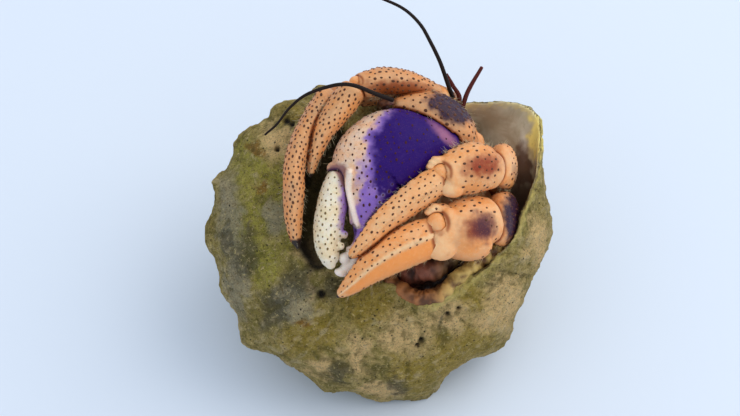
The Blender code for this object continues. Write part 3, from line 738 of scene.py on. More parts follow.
def outer_wall(rows=170, columns=56):
    """The last whorl round the mouth: a thin wall that ends at a chipped lip."""
    angles = np.linspace(WALL_START, LIP_PATH[-1][0], rows)
    edge = np.interp(angles, *zip(*LIP_PATH))
    open_edge = edge < OPEN_EDGE
    chips = wander([(angle / 5, 0, 0) for angle in angles], 1.0, 3.0)
    edge = edge + LIP_CHIPS * chips * open_edge
    share = np.linspace(0, 1, columns)
    down = edge[:, None] * share
    outer = shell_surface(angles[:, None], down)
    thick = WALL + (LIP_EDGE - WALL) * share**4 * open_edge[:, None]
    inner = outer - wall_normals(angles[:, None], down) * thick[..., None]
    loops = [np.vstack((outer[k], inner[k, ::-1])) for k in range(rows)]
    return capped(loops)


# Limbs


THINNEST = 0.12
SQUARENESS = 2.2
CAP_SHARE = 0.6
CAP_LIFTS = np.radians((12, 26, 40, 54, 68, 80))
NEAREST_BLOCK = 4000
BALL_LIFTS = np.linspace(-80, 80, 11)
BALL_SIDES = 20


class Limb:
    """A limb's path with its width, depth and directions, and the closed body round it."""

    def __init__(self, stations, facing=(0, 0, 1), rows=80):
        run = smooth_run(stations, rows)
        facing = np.asarray(facing, float)
        self.path = run[:, :3]
        self.half = np.maximum(run[:, 3:5] / 2, THINNEST)
        self.heading = unit(np.gradient(self.path, axis=0))
        self.face = unit(facing - self.heading * (self.heading @ facing)[:, None])
        self.side = np.cross(self.heading, self.face)
        self.length = np.linalg.norm(np.diff(self.path, axis=0), axis=1).sum()

    def ring(self, at, sides, swell, edges=(), shift=0.0, shrink=1.0):
        """One closed ring round the limb, with any raised edges along it."""
        turn = np.linspace(0, 2 * math.pi, sides, endpoint=False)
        power = 2 / SQUARENESS
        x = np.sign(np.cos(turn)) * np.abs(np.cos(turn)) ** power
        y = np.sign(np.sin(turn)) * np.abs(np.sin(turn)) ** power
        reach = (self.half[at] + swell) * shrink
        lift = np.zeros(sides)
        share = at / (len(self.path) - 1)
        for angle, height, width, teeth, start, end in edges:
            gap = np.degrees(np.angle(np.exp(1j * (turn - math.radians(angle)))))
            saw = 1.0
            if teeth:
                saw = 0.45 + 0.55 * abs(math.sin(math.pi * teeth * share)) ** 0.7
            fade = float(smooth_step(share, start, start + 0.1) * smooth_step(end - share, 0.0, 0.08))
            lift += height * saw * fade * np.exp(-((gap / width) ** 2))
        centre = self.path[at] + self.heading[at] * shift
        body = np.outer(x * reach[0], self.side[at]) + np.outer(y * reach[1], self.face[at])
        return centre + body + unit(body) * (lift * shrink)[:, None]

    def body(self, sides=40, swell=0.0, edges=(), every=1):
        """Points and triangles of the closed limb."""
        ats = list(range(0, len(self.path), every))
        if ats[-1] != len(self.path) - 1:
            ats.append(len(self.path) - 1)
        rows = [self.ring(at, sides, swell, edges) for at in ats]
        for at, way in ((0, -1), (len(self.path) - 1, 1)):
            bulge = way * (CAP_SHARE * self.half[at].min() + swell)
            cap = [self.ring(at, sides, swell, edges, bulge * math.sin(lift), math.cos(lift))
                   for lift in CAP_LIFTS]
            rows = rows + cap if way > 0 else cap[::-1] + rows
        return capped(rows)

    def places(self, points):
        """For each point its share along the limb, its angle round it in degrees and its nearest row."""
        near = np.empty(len(points), int)
        for start in range(0, len(points), NEAREST_BLOCK):
            block = points[start:start + NEAREST_BLOCK]
            far = ((block[:, None, :] - self.path[None]) ** 2).sum(axis=2)
            near[start:start + NEAREST_BLOCK] = far.argmin(axis=1)
        away = points - self.path[near]
        x = (away * self.side[near]).sum(axis=1) / self.half[near, 0]
        y = (away * self.face[near]).sum(axis=1) / self.half[near, 1]
        return near / (len(self.path) - 1), np.degrees(np.arctan2(y, x)), near

    def distance(self, points, near):
        """How far points lie from their nearest rows' middles."""
        return np.linalg.norm(points - self.path[near], axis=1)


def ball(centre, size):
    """Points and triangles of a rounded lump, with its half sizes across, up and out."""
    heading = np.array((0.0, 0.0, 1.0))
    side = unit(np.cross(heading, (0.31, 0.95, 0.07)))
    up = np.cross(heading, side)
    turn = np.linspace(0, 2 * math.pi, BALL_SIDES, endpoint=False)
    rows = []
    for lift in np.radians(BALL_LIFTS):
        rows.append(np.asarray(centre) + heading * size[2] * math.sin(lift)
                    + math.cos(lift) * (np.outer(np.cos(turn) * size[0], side)
                                        + np.outer(np.sin(turn) * size[1], up)))
    return capped(rows)


def joined(bodies):
    """Several bodies' points and triangles as one."""
    points, faces, count = [], [], 0
    for body_points, body_faces in bodies:
        points.append(body_points)
        faces.append(body_faces + count)
        count += len(body_points)
    return np.vstack(points), np.vstack(faces)


# The slots of the crab's pieces.
SKIN = "crab_skin"
CREAM = "claw_cream"
PURPLE = "claw_purple"
FLESH = "soft_flesh"
FEELER = "feeler"
EYE = "eye"

SIDEWAYS = (1, 0, 0)

# Every piece of the crab, front pieces first, as its slot, its stations (place across, up and out,
# width and depth) and, where it isn't out of the mouth, the way that it faces. A later piece is cut
# clear of the earlier ones.
LIMBS = {
    "left_leg2_propodus": (SKIN, [
        (18.9, 11.9, 7.0, 6.6, 7.0), (15.8, 12.2, 9.2, 8.4, 7.6), (11.8, 10.9, 10.8, 7.0, 6.6)]),
    "left_leg3_propodus": (SKIN, [
        (18.5, 3.5, 6.8, 8.0, 7.0), (15.0, 2.4, 9.0, 9.4, 7.8), (9.6, 0.3, 10.8, 7.0, 6.2)]),
    "left_leg2_dactyl": (SKIN, [
        (11.2, 11.0, 11.0, 5.2, 4.6), (5.4, 6.8, 12.4, 4.8, 4.6), (1.0, 3.2, 13.0, 4.0, 4.0),
        (-1.6, 0.3, 13.4, 3.1, 3.2), (-3.7, -1.8, 13.2, 1.9, 2.1), (-4.8, -2.9, 12.7, 0.7, 0.8)]),
    "left_leg3_dactyl": (SKIN, [
        (9.6, 1.0, 11.2, 6.6, 5.0), (3.5, -1.6, 12.6, 6.6, 5.2), (-0.8, -4.3, 12.8, 5.2, 4.4),
        (-4.9, -7.8, 12.0, 2.6, 2.8), (-6.9, -9.5, 11.2, 0.7, 0.8)]),
    "left_claw_finger": (CREAM, [
        (-6.9, 10.6, 8.8, 3.8, 5.2), (-7.5, 7.6, 9.6, 4.9, 5.5), (-8.4, 3.0, 10.4, 5.0, 5.4),
        (-8.7, -0.6, 10.8, 4.2, 4.6), (-8.2, -3.2, 11.0, 3.0, 3.4), (-7.9, -4.4, 11.0, 1.6, 1.8)]),
    "left_claw_palm": (PURPLE, [
        (12.0, 15.7, 5.6, 5.8, 6.4), (7.8, 15.8, 6.8, 10.8, 9.4), (3.4, 15.0, 7.6, 15.2, 10.6),
        (-0.8, 12.6, 8.2, 14.4, 10.2), (-0.7, 8.8, 8.5, 10.2, 8.8), (-1.2, 4.2, 8.9, 7.0, 7.0),
        (-2.1, -0.4, 9.3, 4.4, 5.2), (-4.2, -3.6, 9.6, 3.0, 3.6), (-6.7, -5.6, 9.8, 1.2, 1.6)]),
    "left_claw_carpus": (SKIN, [
        (3.2, 23.0, 5.2, 2.8, 5.0), (6.2, 22.8, 4.8, 5.0, 6.8), (10.0, 21.5, 4.5, 6.2, 7.8),
        (13.2, 19.0, 3.7, 5.8, 8.0), (15.2, 16.8, 2.4, 3.6, 5.8)]),
    "right_leg2_dactyl": (SKIN, [
        (-4.5, 25.1, 8.2, 4.8, 5.0), (-7.0, 21.7, 9.2, 4.2, 4.6), (-9.2, 18.6, 9.4, 3.4, 3.8),
        (-10.5, 15.4, 9.0, 2.5, 2.8), (-11.2, 12.8, 8.5, 1.6, 1.8), (-11.4, 10.8, 8.0, 0.6, 0.7)]),
    "right_leg3_dactyl": (SKIN, [
        (-8.6, 24.4, 4.8, 3.8, 4.4), (-10.7, 21.0, 7.0, 3.7, 4.6), (-12.9, 17.0, 8.8, 3.4, 4.3),
        (-14.1, 12.8, 9.8, 3.4, 4.0), (-14.2, 8.6, 10.2, 3.4, 3.6), (-14.3, 4.3, 10.0, 2.9, 3.0),
        (-14.0, 0.8, 9.4, 2.0, 2.2), (-13.5, -1.3, 8.8, 0.7, 0.8)]),
    "right_leg2_propodus": (SKIN, [
        (9.2, 25.2, 1.4, 3.6, 5.4), (4.8, 26.7, 4.2, 4.4, 6.0), (0.8, 27.1, 6.2, 4.6, 6.0),
        (-2.8, 26.2, 7.2, 4.4, 5.6)]),
    "right_leg3_propodus": (SKIN, [
        (5.0, 25.2, -3.0, 3.6, 4.6), (-0.6, 25.0, -1.0, 4.2, 4.8), (-6.8, 24.9, 2.8, 3.8, 4.8)]),
    "left_leg2_carpus": (SKIN, [
        (20.6, 12.8, 5.6, 7.0, 4.2), (21.3, 12.6, 2.8, 7.8, 4.8), (21.6, 12.1, 0.2, 7.4, 4.6),
        (21.4, 10.8, -2.0, 6.0, 4.2)], SIDEWAYS),
    "left_leg3_carpus": (SKIN, [
        (20.4, 3.6, 5.4, 8.8, 4.4), (21.4, 3.6, 2.6, 9.6, 4.8), (22.0, 3.6, -0.6, 8.8, 4.8),
        (21.8, 3.4, -2.4, 6.4, 4.4)], SIDEWAYS),
    "right_leg2_carpus": (SKIN, [
        (10.0, 25.0, -0.4, 3.6, 4.4), (12.2, 23.8, -4.6, 3.8, 4.0), (13.4, 21.6, -7.0, 3.6, 3.8)]),
    "right_leg3_carpus": (SKIN, [
        (6.0, 25.2, -4.8, 3.6, 4.0), (7.6, 23.8, -7.6, 3.8, 3.8), (9.2, 21.6, -8.8, 3.6, 3.6)]),
    "left_claw_merus": (SKIN, [
        (15.4, 17.0, 0.0, 5.6, 5.6), (15.8, 12.6, -0.2, 6.0, 5.4), (15.0, 9.4, -1.8, 5.0, 4.8)]),
    "left_leg2_merus": (SKIN, [
        (21.2, 10.4, -3.8, 5.0, 4.2), (19.4, 9.2, -8.2, 4.8, 4.0)], SIDEWAYS),
    "left_leg3_merus": (SKIN, [
        (21.4, 3.0, -4.2, 5.0, 4.2), (19.6, 2.6, -8.6, 4.8, 4.0)], SIDEWAYS),
    "right_leg2_merus": (SKIN, [
        (14.0, 20.4, -7.6, 3.6, 3.4), (15.8, 17.0, -8.4, 4.2, 3.6), (17.2, 13.0, -8.6, 3.8, 3.2)]),
    "right_leg3_merus": (SKIN, [
        (9.8, 20.4, -9.0, 3.4, 3.2), (11.8, 17.4, -8.4, 3.8, 3.4), (13.2, 13.4, -8.4, 3.4, 3.2)]),
    "carapace": (SKIN, [
        (8.4, 17.8, -3.2, 8.0, 4.6), (12.0, 14.8, -4.8, 10.6, 6.8), (14.6, 9.6, -6.2, 12.0, 7.6),
        (15.6, 4.2, -7.4, 11.0, 7.2)]),
    "left_antenna_base": (FLESH, [(11.2, 18.0, -2.6, 2.4, 2.4), (12.8, 23.8, -0.9, 1.6, 1.6)]),
    "right_antenna_base": (FLESH, [
        (6.2, 17.6, -2.6, 2.2, 2.2), (3.4, 20.8, -1.4, 1.9, 1.9), (0.7, 22.7, 2.4, 1.7, 1.7),
        (0.8, 23.2, 6.6, 1.6, 1.6), (2.3, 23.5, 9.2, 1.4, 1.4)]),
    "left_antenna": (FEELER, [
        (12.8, 24.4, -0.7, 0.9, 0.9), (12.0, 26.5, 0.1, 0.85, 0.85), (10.6, 30.4, 0.8, 0.8, 0.8),
        (8.9, 33.9, 1.2, 0.75, 0.75), (7.2, 36.8, 1.4, 0.7, 0.7), (4.6, 39.3, 1.4, 0.65, 0.65),
        (1.2, 41.0, 1.2, 0.6, 0.6), (-3.0, 42.4, 1.0, 0.52, 0.52), (-7.6, 43.2, 0.8, 0.44, 0.44)]),
    "right_antenna": (FEELER, [
        (2.4, 23.7, 9.6, 0.9, 0.9), (-0.5, 24.7, 11.6, 0.85, 0.85), (-3.9, 26.0, 12.8, 0.8, 0.8),
        (-6.5, 26.2, 12.8, 0.75, 0.75), (-9.6, 25.5, 12.2, 0.7, 0.7), (-12.5, 24.3, 11.6, 0.62, 0.62),
        (-15.0, 22.2, 11.4, 0.55, 0.55), (-17.0, 19.6, 11.6, 0.5, 0.5),
        (-19.0, 17.8, 12.0, 0.44, 0.44)]),
    "left_antennule": (FEELER, [
        (12.8, 17.0, -3.4, 1.2, 1.2), (14.2, 21.6, -2.6, 1.0, 1.0), (15.4, 25.4, -2.8, 0.9, 0.9),
        (17.8, 29.6, -3.0, 0.7, 0.7)]),
    "right_antennule": (FEELER, [
        (11.2, 17.0, -3.8, 1.1, 1.1), (12.9, 21.0, -3.7, 0.9, 0.9), (14.0, 24.2, -2.5, 0.9, 0.9),
        (12.9, 26.4, -2.6, 0.8, 0.8), (11.8, 28.4, -3.0, 0.6, 0.6)]),
    "left_eye": (EYE, [(9.0, 22.0, -2.2, 1.7, 1.7), (9.0, 23.0, -2.1, 1.5, 1.5)]),
    "right_eye": (EYE, [(6.8, 22.0, -2.2, 1.7, 1.7), (6.7, 23.0, -2.1, 1.5, 1.5)]),
    "left_eyestalk": (SKIN, [(9.1, 18.0, -2.6, 1.4, 1.6), (9.0, 21.4, -2.3, 1.5, 1.7)]),
    "right_eyestalk": (SKIN, [(7.1, 18.0, -2.6, 1.4, 1.6), (6.8, 21.4, -2.3, 1.5, 1.7)]),
    "left_maxilliped": (FLESH, [
        (10.8, 16.2, -1.6, 2.2, 2.0), (10.0, 12.8, -0.6, 2.4, 2.2), (9.0, 9.6, -0.2, 1.4, 1.4)]),
    "right_maxilliped": (FLESH, [
        (8.0, 16.4, -1.8, 2.2, 2.0), (7.0, 12.6, -1.0, 2.4, 2.2), (6.4, 9.6, -0.6, 1.4, 1.4)]),
    "right_claw_palm": (SKIN, [
        (12.6, 6.4, 2.2, 4.4, 4.4), (10.0, 5.0, 3.4, 6.2, 5.4), (6.8, 3.4, 4.4, 5.6, 5.0),
        (4.0, 1.6, 4.8, 3.2, 3.4), (2.0, 0.2, 5.0, 1.0, 1.4)]),
    "right_claw_finger": (CREAM, [
        (6.0, -0.4, 4.4, 2.6, 3.2), (3.4, -1.6, 5.0, 2.2, 2.6), (1.2, -2.0, 5.2, 0.9, 1.2)]),
    "right_claw_carpus": (SKIN, [
        (14.6, 7.0, 1.4, 5.0, 4.6), (16.6, 6.2, -0.8, 5.0, 4.6)]),
    "right_claw_merus": (SKIN, [
        (17.4, 4.8, -2.2, 4.2, 4.0), (17.2, 2.2, -3.4, 4.4, 4.2), (16.4, 1.2, -5.0, 3.8, 3.6)]),
    "left_leg4": (SKIN, [
        (19.4, 0.6, -6.2, 3.0, 2.8), (20.4, -3.8, -4.6, 2.8, 2.6), (18.8, -7.6, -2.8, 1.8, 1.8)]),
    "right_leg4": (SKIN, [
        (12.6, 1.0, -5.2, 3.0, 2.8), (10.8, -3.0, -3.8, 2.8, 2.6), (9.2, -6.0, -3.2, 1.8, 1.8)]),
    "abdomen": (FLESH, [
        (15.4, -0.6, -8.6, 9.0, 7.0), (13.2, -4.6, -9.4, 10.4, 8.0), (10.0, -8.4, -10.0, 10.6, 8.2),
        (5.4, -11.2, -10.4, 9.8, 7.8), (0.2, -12.4, -10.4, 7.6, 6.4), (-4.6, -12.6, -10.0, 4.0, 4.0)]),
}


# The blunt teeth along the big claw's edges: each root, crown, and their widths.
CLAW_TEETH = {
    "left_claw_finger": [((-7.2, 1.2, 11.2), (-5.6, 0.8, 11.3), 1.9, 0.9)],
    "left_claw_palm": [
        ((-3.2, 0.2, 9.9), (-4.6, -0.2, 10.3), 1.4, 0.7),
        ((-3.3, -1.2, 10.0), (-5.2, -1.5, 10.5), 1.6, 0.9),
        ((-4.0, -2.6, 9.9), (-6.2, -3.0, 10.6), 2.3, 1.6),
    ],
}


# Raised edges along a limb: the angle round it, height, width in degrees, teeth, start and end.
EDGES = {
    "left_leg2_dactyl": ((20, 0.34, 12, 17, 0, 1), (100, 0.4, 8, 19, 0, 1), (186, 0.3, 12, 15, 0, 1)),
    "left_leg3_dactyl": ((14, 0.36, 12, 19, 0, 1), (86, 0.5, 8, 24, 0, 1), (186, 0.34, 12, 19, 0, 1)),
    "left_leg2_propodus": ((10, 0.34, 14, 9, 0, 1), (176, 0.34, 12, 8, 0, 1)),
    "left_leg3_propodus": ((8, 0.34, 14, 10, 0, 1), (182, 0.34, 12, 10, 0, 1)),
    "left_claw_palm": ((24, 0.75, 14, 0, 0.5, 0.86), (160, 0.2, 14, 0, 0, 0.5)),
    "left_claw_carpus": ((176, 0.5, 11, 0, 0, 1), (10, 0.22, 14, 9, 0, 1)),
    "left_claw_finger": ((180, 0.3, 16, 6, 0.2, 0.95), (60, 0.1, 20, 7, 0.1, 0.95)),
    "right_leg2_dactyl": ((0, 0.24, 14, 15, 0, 1), (180, 0.3, 12, 17, 0, 1), (84, 0.3, 9, 19, 0, 1)),
    "right_leg3_dactyl": ((0, 0.22, 14, 19, 0, 1), (180, 0.24, 12, 19, 0, 1), (92, 0.3, 9, 23, 0, 1)),
    "right_leg2_propodus": ((180, 0.3, 13, 11, 0, 1),),
}
# Rounded lumps that belong to a limb: centre and half sizes.
LUMPS = {
    "left_leg2_propodus": (
        ((8.8, 12.3, 12.1), (0.9, 0.6, 0.8)), ((9.3, 13.0, 12.1), (1.0, 0.6, 0.9)),
        ((10.0, 13.6, 11.9), (1.2, 0.6, 1.0)), ((10.9, 13.0, 11.4), (1.8, 1.3, 1.5)),
    ),
    "left_leg3_propodus": (
        ((11.6, 3.8, 12.0), (1.5, 2.0, 1.5)), ((8.5, 4.6, 12.1), (0.9, 0.6, 0.8)),
        ((9.1, 5.2, 12.1), (1.0, 0.6, 0.9)), ((9.9, 5.7, 11.8), (1.2, 0.6, 1.0)),
        ((10.9, 5.0, 11.3), (1.8, 1.3, 1.5)),
    ),
    "left_claw_palm": (
        ((-6.9, 11.9, 9.8), (1.9, 1.5, 1.3)),
        ((-4.6, 11.2, 11.3), (0.9, 0.9, 1.2)), ((-5.6, -3.1, 10.7), (1.15, 1.0, 1.0)),
        ((-4.8, -1.4, 10.5), (0.7, 0.5, 0.7)), ((-4.1, -0.2, 10.3), (0.45, 0.5, 0.6)),
        ((-3.3, -2.6, 10.4), (0.7, 1.1, 0.9)), ((-6.3, -5.4, 10.2), (1.2, 0.75, 0.9)),
    ),
    "left_claw_finger": (((-5.9, 1.1, 11.4), (0.9, 0.7, 0.8)), ((-6.2, -1.0, 11.6), (0.6, 0.7, 0.6))),
    "right_leg3_dactyl": (((-9.4, 24.2, 6.2), (1.5, 1.4, 1.5)),),
}
# Rounded lobes that lie over the limb in front: centre and half sizes.
LOBES = {
    "left_leg2_propodus": (((12.1, 8.7, 12.2), (2.3, 1.5, 1.3)),),
    "left_leg3_propodus": (((10.3, -1.0, 12.3), (3.0, 2.4, 1.3)), ((14.0, 0.4, 9.6), (5.6, 3.8, 3.5))),
}
# Spacing, radius and height of the tubercles on each limb that shows.
TUBERCLES = {
    "left_leg2_dactyl": (0.95, 0.22, 0.12), "left_leg3_dactyl": (1.0, 0.21, 0.12),
    "left_leg2_propodus": (1.15, 0.26, 0.13), "left_leg3_propodus": (1.25, 0.25, 0.13),
    "left_claw_finger": (0.85, 0.2, 0.1), "left_claw_palm": (1.0, 0.22, 0.09),
    "left_claw_carpus": (0.98, 0.28, 0.14), "right_leg2_dactyl": (0.78, 0.24, 0.13),
    "right_leg3_dactyl": (0.74, 0.24, 0.13), "right_leg2_propodus": (0.85, 0.24, 0.14),
    "right_leg3_propodus": (1.0, 0.24, 0.14), "left_leg2_carpus": (1.0, 0.24, 0.13),
    "left_leg3_carpus": (1.0, 0.24, 0.13),
}
# Marks on the skin: the mark, its middle across and up, half sizes, tilt in degrees and strength.
PATCHES = {
    "left_leg2_propodus": (("bare", 17.4, 12.6, 4.6, 3.2, 10, 0.34), ("mid", 17.6, 12.6, 4.2, 2.9, 15, 0.85),
                           ("cream", 11.4, 8.8, 2.2, 2.0, 0, 0.6), ("cream", 9.4, 13.0, 1.8, 1.4, 0, 0.8)),
    "left_leg3_propodus": (("mid", 17.0, 2.2, 3.4, 3.4, 25, 0.9), ("deep", 17.6, 2.4, 2.8, 3.4, 25, 0.68),
                           # This dark patch is painted shade.
                           ("painted_shade", 15.4, 0.8, 4.4, 2.6, 25, 0.4),
                           ("cream", 9.7, -1.0, 3.8, 3.0, 0, 0.55), ("bare", 14.0, -2.4, 4.4, 1.6, 10, 0.34),
                           ("cream", 9.2, 5.2, 1.8, 1.4, 0, 0.8)),
    "left_claw_carpus": (("deep", 12.3, 22.4, 5.2, 2.8, -30, 1.4), ("bare", 8.0, 20.6, 6.0, 1.2, -24, 0.34)),
    "left_leg3_carpus": (("deep", 23.6, 4.0, 3.2, 6.0, 0, 1.3),),
    "left_leg2_carpus": (("deep", 23.4, 11.2, 0.9, 3.0, 0, 0.5),),
    # Painted shade along the underside of this propodus.
    "right_leg2_propodus": (("painted_shade", 4.8, 25.0, 9.0, 2.6, -8, 1.2),),
    "left_claw_palm": (("pink", 11.4, 17.6, 4.2, 1.0, -44, 0.75), ("bare", -6.9, 11.6, 2.2, 1.8, 0, 1.2)),
}
# Where a limb has no tubercles: middle and half sizes.
SMOOTH_SKIN = {"left_leg3_propodus": (13.6, 0.4, 5.6, 4.2)}
# The cream rib down the fixed finger: places across and up, and widths.
FINGER_RIB = ((-4.9, 11.6, 1.5), (-5.0, 8.6, 1.15), (-4.3, 5.2, 1.05), (-3.5, 2.4, 1.0))
# The gap between the two fingers of the big claw.
FINGER_GAP = ((-4.7, 0.9, 11.4), (0.95, 2.1, 3.4))
# The rings round the palm's tubercles: how far they reach, and the heights that they fade between.
RING_REACH = (0.2, 0.5)
RING_HEIGHTS = (5.0, 11.0)
# The shares of the palm's tubercles that are kept at those heights where it is deep purple.
SPARSE_SHARES = (0.9, 0.42)
# How near its neighbours a limb's painted shade is full, and where it ends.
PAINTED_SHADE_REACH = (0.1, 0.8)
# How strong the painted shade on a limb's flanks is.
FLANK_PAINTED_SHADE = 0.5
# Limbs with painted shade all over, which makes them darker than the rest.
SHADED = {
    "left_claw_carpus": 0.36, "right_leg2_dactyl": 0.3, "right_leg3_dactyl": 0.36,
    "right_leg2_propodus": 0.36, "right_leg3_propodus": 0.4,
}
# Where the horn of a dark tip starts and is full, as shares of the limb.
HORN_TIP = (0.92, 0.985)
HORN_TIPS = {"right_leg3_dactyl": (0.84, 0.92), "right_leg2_dactyl": (0.9, 0.97)}
# Where the big claw's purple starts: height up the claw and place across.
PURPLE_EDGE = ((-3.8, -3.6), (1.9, -4.2), (6.0, -3.4), (9.1, -2.4), (12.8, -1.4), (17.1, -1.8), (23.1, 2.4))
# How far along a limb its tubercles go: the usual share, and the limbs where it differs.
USUAL_END = 0.92
TUBERCLE_END = {"left_leg2_carpus": 1.01, "left_leg3_carpus": 1.01}
# A tubercle's rings from its foot up: width and height as shares of its own, and how dark each is.
DOME_LEVELS = ((1.0, -0.5), (0.9, 0.15), (0.55, 0.75))
DOME_SIDES = 7
DOME_SHADES = (0.0, 0.35, 0.9)
# Limbs whose tubercles are less dark.
DOT_SHARES = {"left_claw_palm": 0.8, "left_claw_finger": 0.7}
# Skin that is barer than this has no tubercles.
BARE_FROM = 0.35
# The row of hairs under the second leg's patch: its two ends across and up, and how they lie.
COMB = ((16.0, 10.2), (20.2, 9.3))
COMB_COUNT = 15
COMB_LIE = np.array((-0.15, -0.75, 0.6))
# The joints' rounded knuckles: centre and half sizes.
KNUCKLES = {
    "left_leg2_knuckle": ((10.6, 11.4, 12.5), (1.45, 1.5, 1.0)),
    "left_leg3_knuckle": ((9.8, 2.8, 12.5), (1.75, 1.9, 1.15)),
    "right_leg2_knuckle": ((-3.8, 26.8, 8.4), (1.1, 1.0, 0.8)),
    "right_leg3_knuckle": ((-9.5, 24.2, 6.6), (1.1, 1.2, 0.8)),
}
# Each limb's bristle roots, which building the limb fills in.
BRISTLE_ROOTS = {}
# How many bristles each limb has.
BRISTLES = {
    "left_leg2_dactyl": 130, "left_leg3_dactyl": 110, "left_leg2_propodus": 120, "left_leg3_propodus": 60,
    "left_claw_palm": 70, "left_claw_finger": 24, "left_claw_carpus": 70, "right_leg2_dactyl": 150,
    "right_leg3_dactyl": 130, "right_leg2_propodus": 80, "left_leg2_carpus": 40, "left_leg3_carpus": 50,
}
# A bristle's sides and rings, how far it curls and tapers, and the size of its patch on the map.
HAIR_SIDES = 3
HAIR_RINGS = 4
HAIR_CURL = 0.18
HAIR_TAPER = 0.75
BAKE_PATCH = 0.003
# The fineness of the limbs' skin, the gap between limbs, and how far their skin lies below the solids'.
LIMB_VOXEL = 0.19
SEEN_GAP = 0.14
SKIN_DROP = 0.02


def slot_of(name):
    return LIMBS[name][0]


def limb_of(name, rows=80):
    """A limb's path and sizes, read at a number of rows."""
    _, stations, *facing = LIMBS[name]
    return Limb(stations, *facing, rows=rows)


def knuckle_of(name):
    """The knuckle that sits in a propodus's end, if this limb has one."""
    return KNUCKLES.get(name.replace("propodus", "knuckle"))


def plain_form(name, swell):
    """A limb's plain form, a little swollen: points and triangles."""
    return limb_of(name).body(sides=22, swell=swell, every=4)


def box_of(points):
    return points.min(axis=0), points.max(axis=0)


def meets(first, second):
    """Whether two boxes, each as low and high corners, come within a gap of each other."""
    return bool(np.all(first[0] - GAP < second[1]) and np.all(second[0] - GAP < first[1]))


def scattered(points, spacing, seed):
    """Numbers of points that lie at least a spacing apart, in a seeded random order."""
    order = list(range(len(points)))
    random.Random(seed).shuffle(order)
    cells = {}
    chosen = []
    for number in order:
        x, y, z = points[number]
        home = (int(x // spacing), int(y // spacing), int(z // spacing))
        crowd = (other for i in (-1, 0, 1) for j in (-1, 0, 1) for k in (-1, 0, 1)
                 for other in cells.get((home[0] + i, home[1] + j, home[2] + k), ()))
        if all(math.dist(points[number], points[other]) >= spacing for other in crowd):
            cells.setdefault(home, []).append(number)
            chosen.append(number)
    return chosen


def domes(spots, normals, radius, height, seed, stretch):
    """Small rounded tubercles on a surface: points, triangles and how dark each point is."""
    draw = random.Random(seed)
    bodies = []
    turn = np.linspace(0, 2 * math.pi, DOME_SIDES, endpoint=False)
    for spot, normal in zip(spots, normals):
        size = radius * draw.uniform(0.6, 1.2)
        along = unit(stretch - normal * (stretch @ normal))
        over = np.cross(normal, along)
        long = draw.uniform(1.0, 1.5)
        ring = np.outer(np.cos(turn) * long, along) + np.outer(np.sin(turn), over)
        body, faces = capped([spot + normal * level * height + wide * size * ring
                              for wide, level in DOME_LEVELS])
        body[-1] = spot + normal * height
        bodies.append((body, faces))
    shades = np.concatenate((np.repeat(DOME_SHADES, DOME_SIDES), (0.0, 1.0)))
    return *joined(bodies), np.tile(shades, len(bodies))


def join_plain(piece, points, faces, marks):
    """Adds loose closed forms to a piece, carrying the piece's marks on."""
    name = piece.name
    base = points_of(piece), faces_of(piece)
    stored = {key: np.concatenate((values_of(piece, key), extra)) for key, extra in marks.items()}
    made = mesh_from(name, *joined([base, (points, faces)]))
    store(made, stored)
    bpy.data.objects.remove(piece, do_unlink=True)
    made.name = name
    return made


def deepen(marks, kind, values):
    """Makes a mark at least as strong as the values."""
    marks[kind] = np.maximum(marks[kind], values)


def add_patches(marks, name, points, warp):
    """The patches of a limb's skin: tilted ovals with wavering edges."""
    for kind, across, up, wide, tall, tilt, strength in PATCHES.get(name, ()):
        lean = math.radians(tilt)
        x = (points[:, 0] - across) * math.cos(lean) + (points[:, 1] - up) * math.sin(lean)
        y = (points[:, 1] - up) * math.cos(lean) - (points[:, 0] - across) * math.sin(lean)
        far = np.hypot(x / wide, y / tall) + 0.2 * warp
        deepen(marks, kind, strength * (1 - smooth_step(far, 0.2, 1.3)))


def add_socket_shade(marks, name, points):
    """A painted shadow: a dark crescent at the upper right of a knuckle's socket."""
    if not knuckle_of(name):
        return
    (across, up, _), (wide, tall, _) = knuckle_of(name)
    upper_right = 0.8 * (points[:, 0] - across) + 0.6 * (points[:, 1] - up)
    crescent = bell(oval_reach(points, across, up, wide, tall), 1.15, 0.26)
    deepen(marks, "painted_shade", 0.9 * crescent * smooth_step(upper_right, 0.1, 0.9))


def tint_palm(marks, points, share, warp):
    """The big claw's palm: purple, lavender above it, and cream along the rib and at the tip."""
    up = points[:, 1]
    past = points[:, 0] - np.interp(up, *zip(*PURPLE_EDGE)) + 0.7 * warp
    low = 1 - smooth_step(up + warp, 7.5, 10.0)
    marks["deep"] = smooth_step(past - 2.6 * low, -0.8, 2.3)
    lavender = 0.6 * bell(up, 11.5, 3.4) * smooth_step(past + 0.5 * warp, -3.0, -0.8)
    marks["mid"] = np.maximum(smooth_step(past, -1.5, 0.5) * 0.9, lavender)
    rib_across, rib_up, _ = zip(*FINGER_RIB[::-1])
    on_rib = bell(points[:, 0], np.interp(up, rib_up, rib_across), 0.7)
    on_rib = on_rib * smooth_step(up, 1.4, 2.4) * smooth_step(12.6 - up, 0, 0.8)
    marks["cream"] = np.maximum(smooth_step(share, 0.78, 0.88), 0.8 * smooth_step(on_rib, 0.3, 0.8))
    for kind in ("deep", "mid", "ring"):
        marks[kind] = marks[kind] * (1 - marks["cream"])


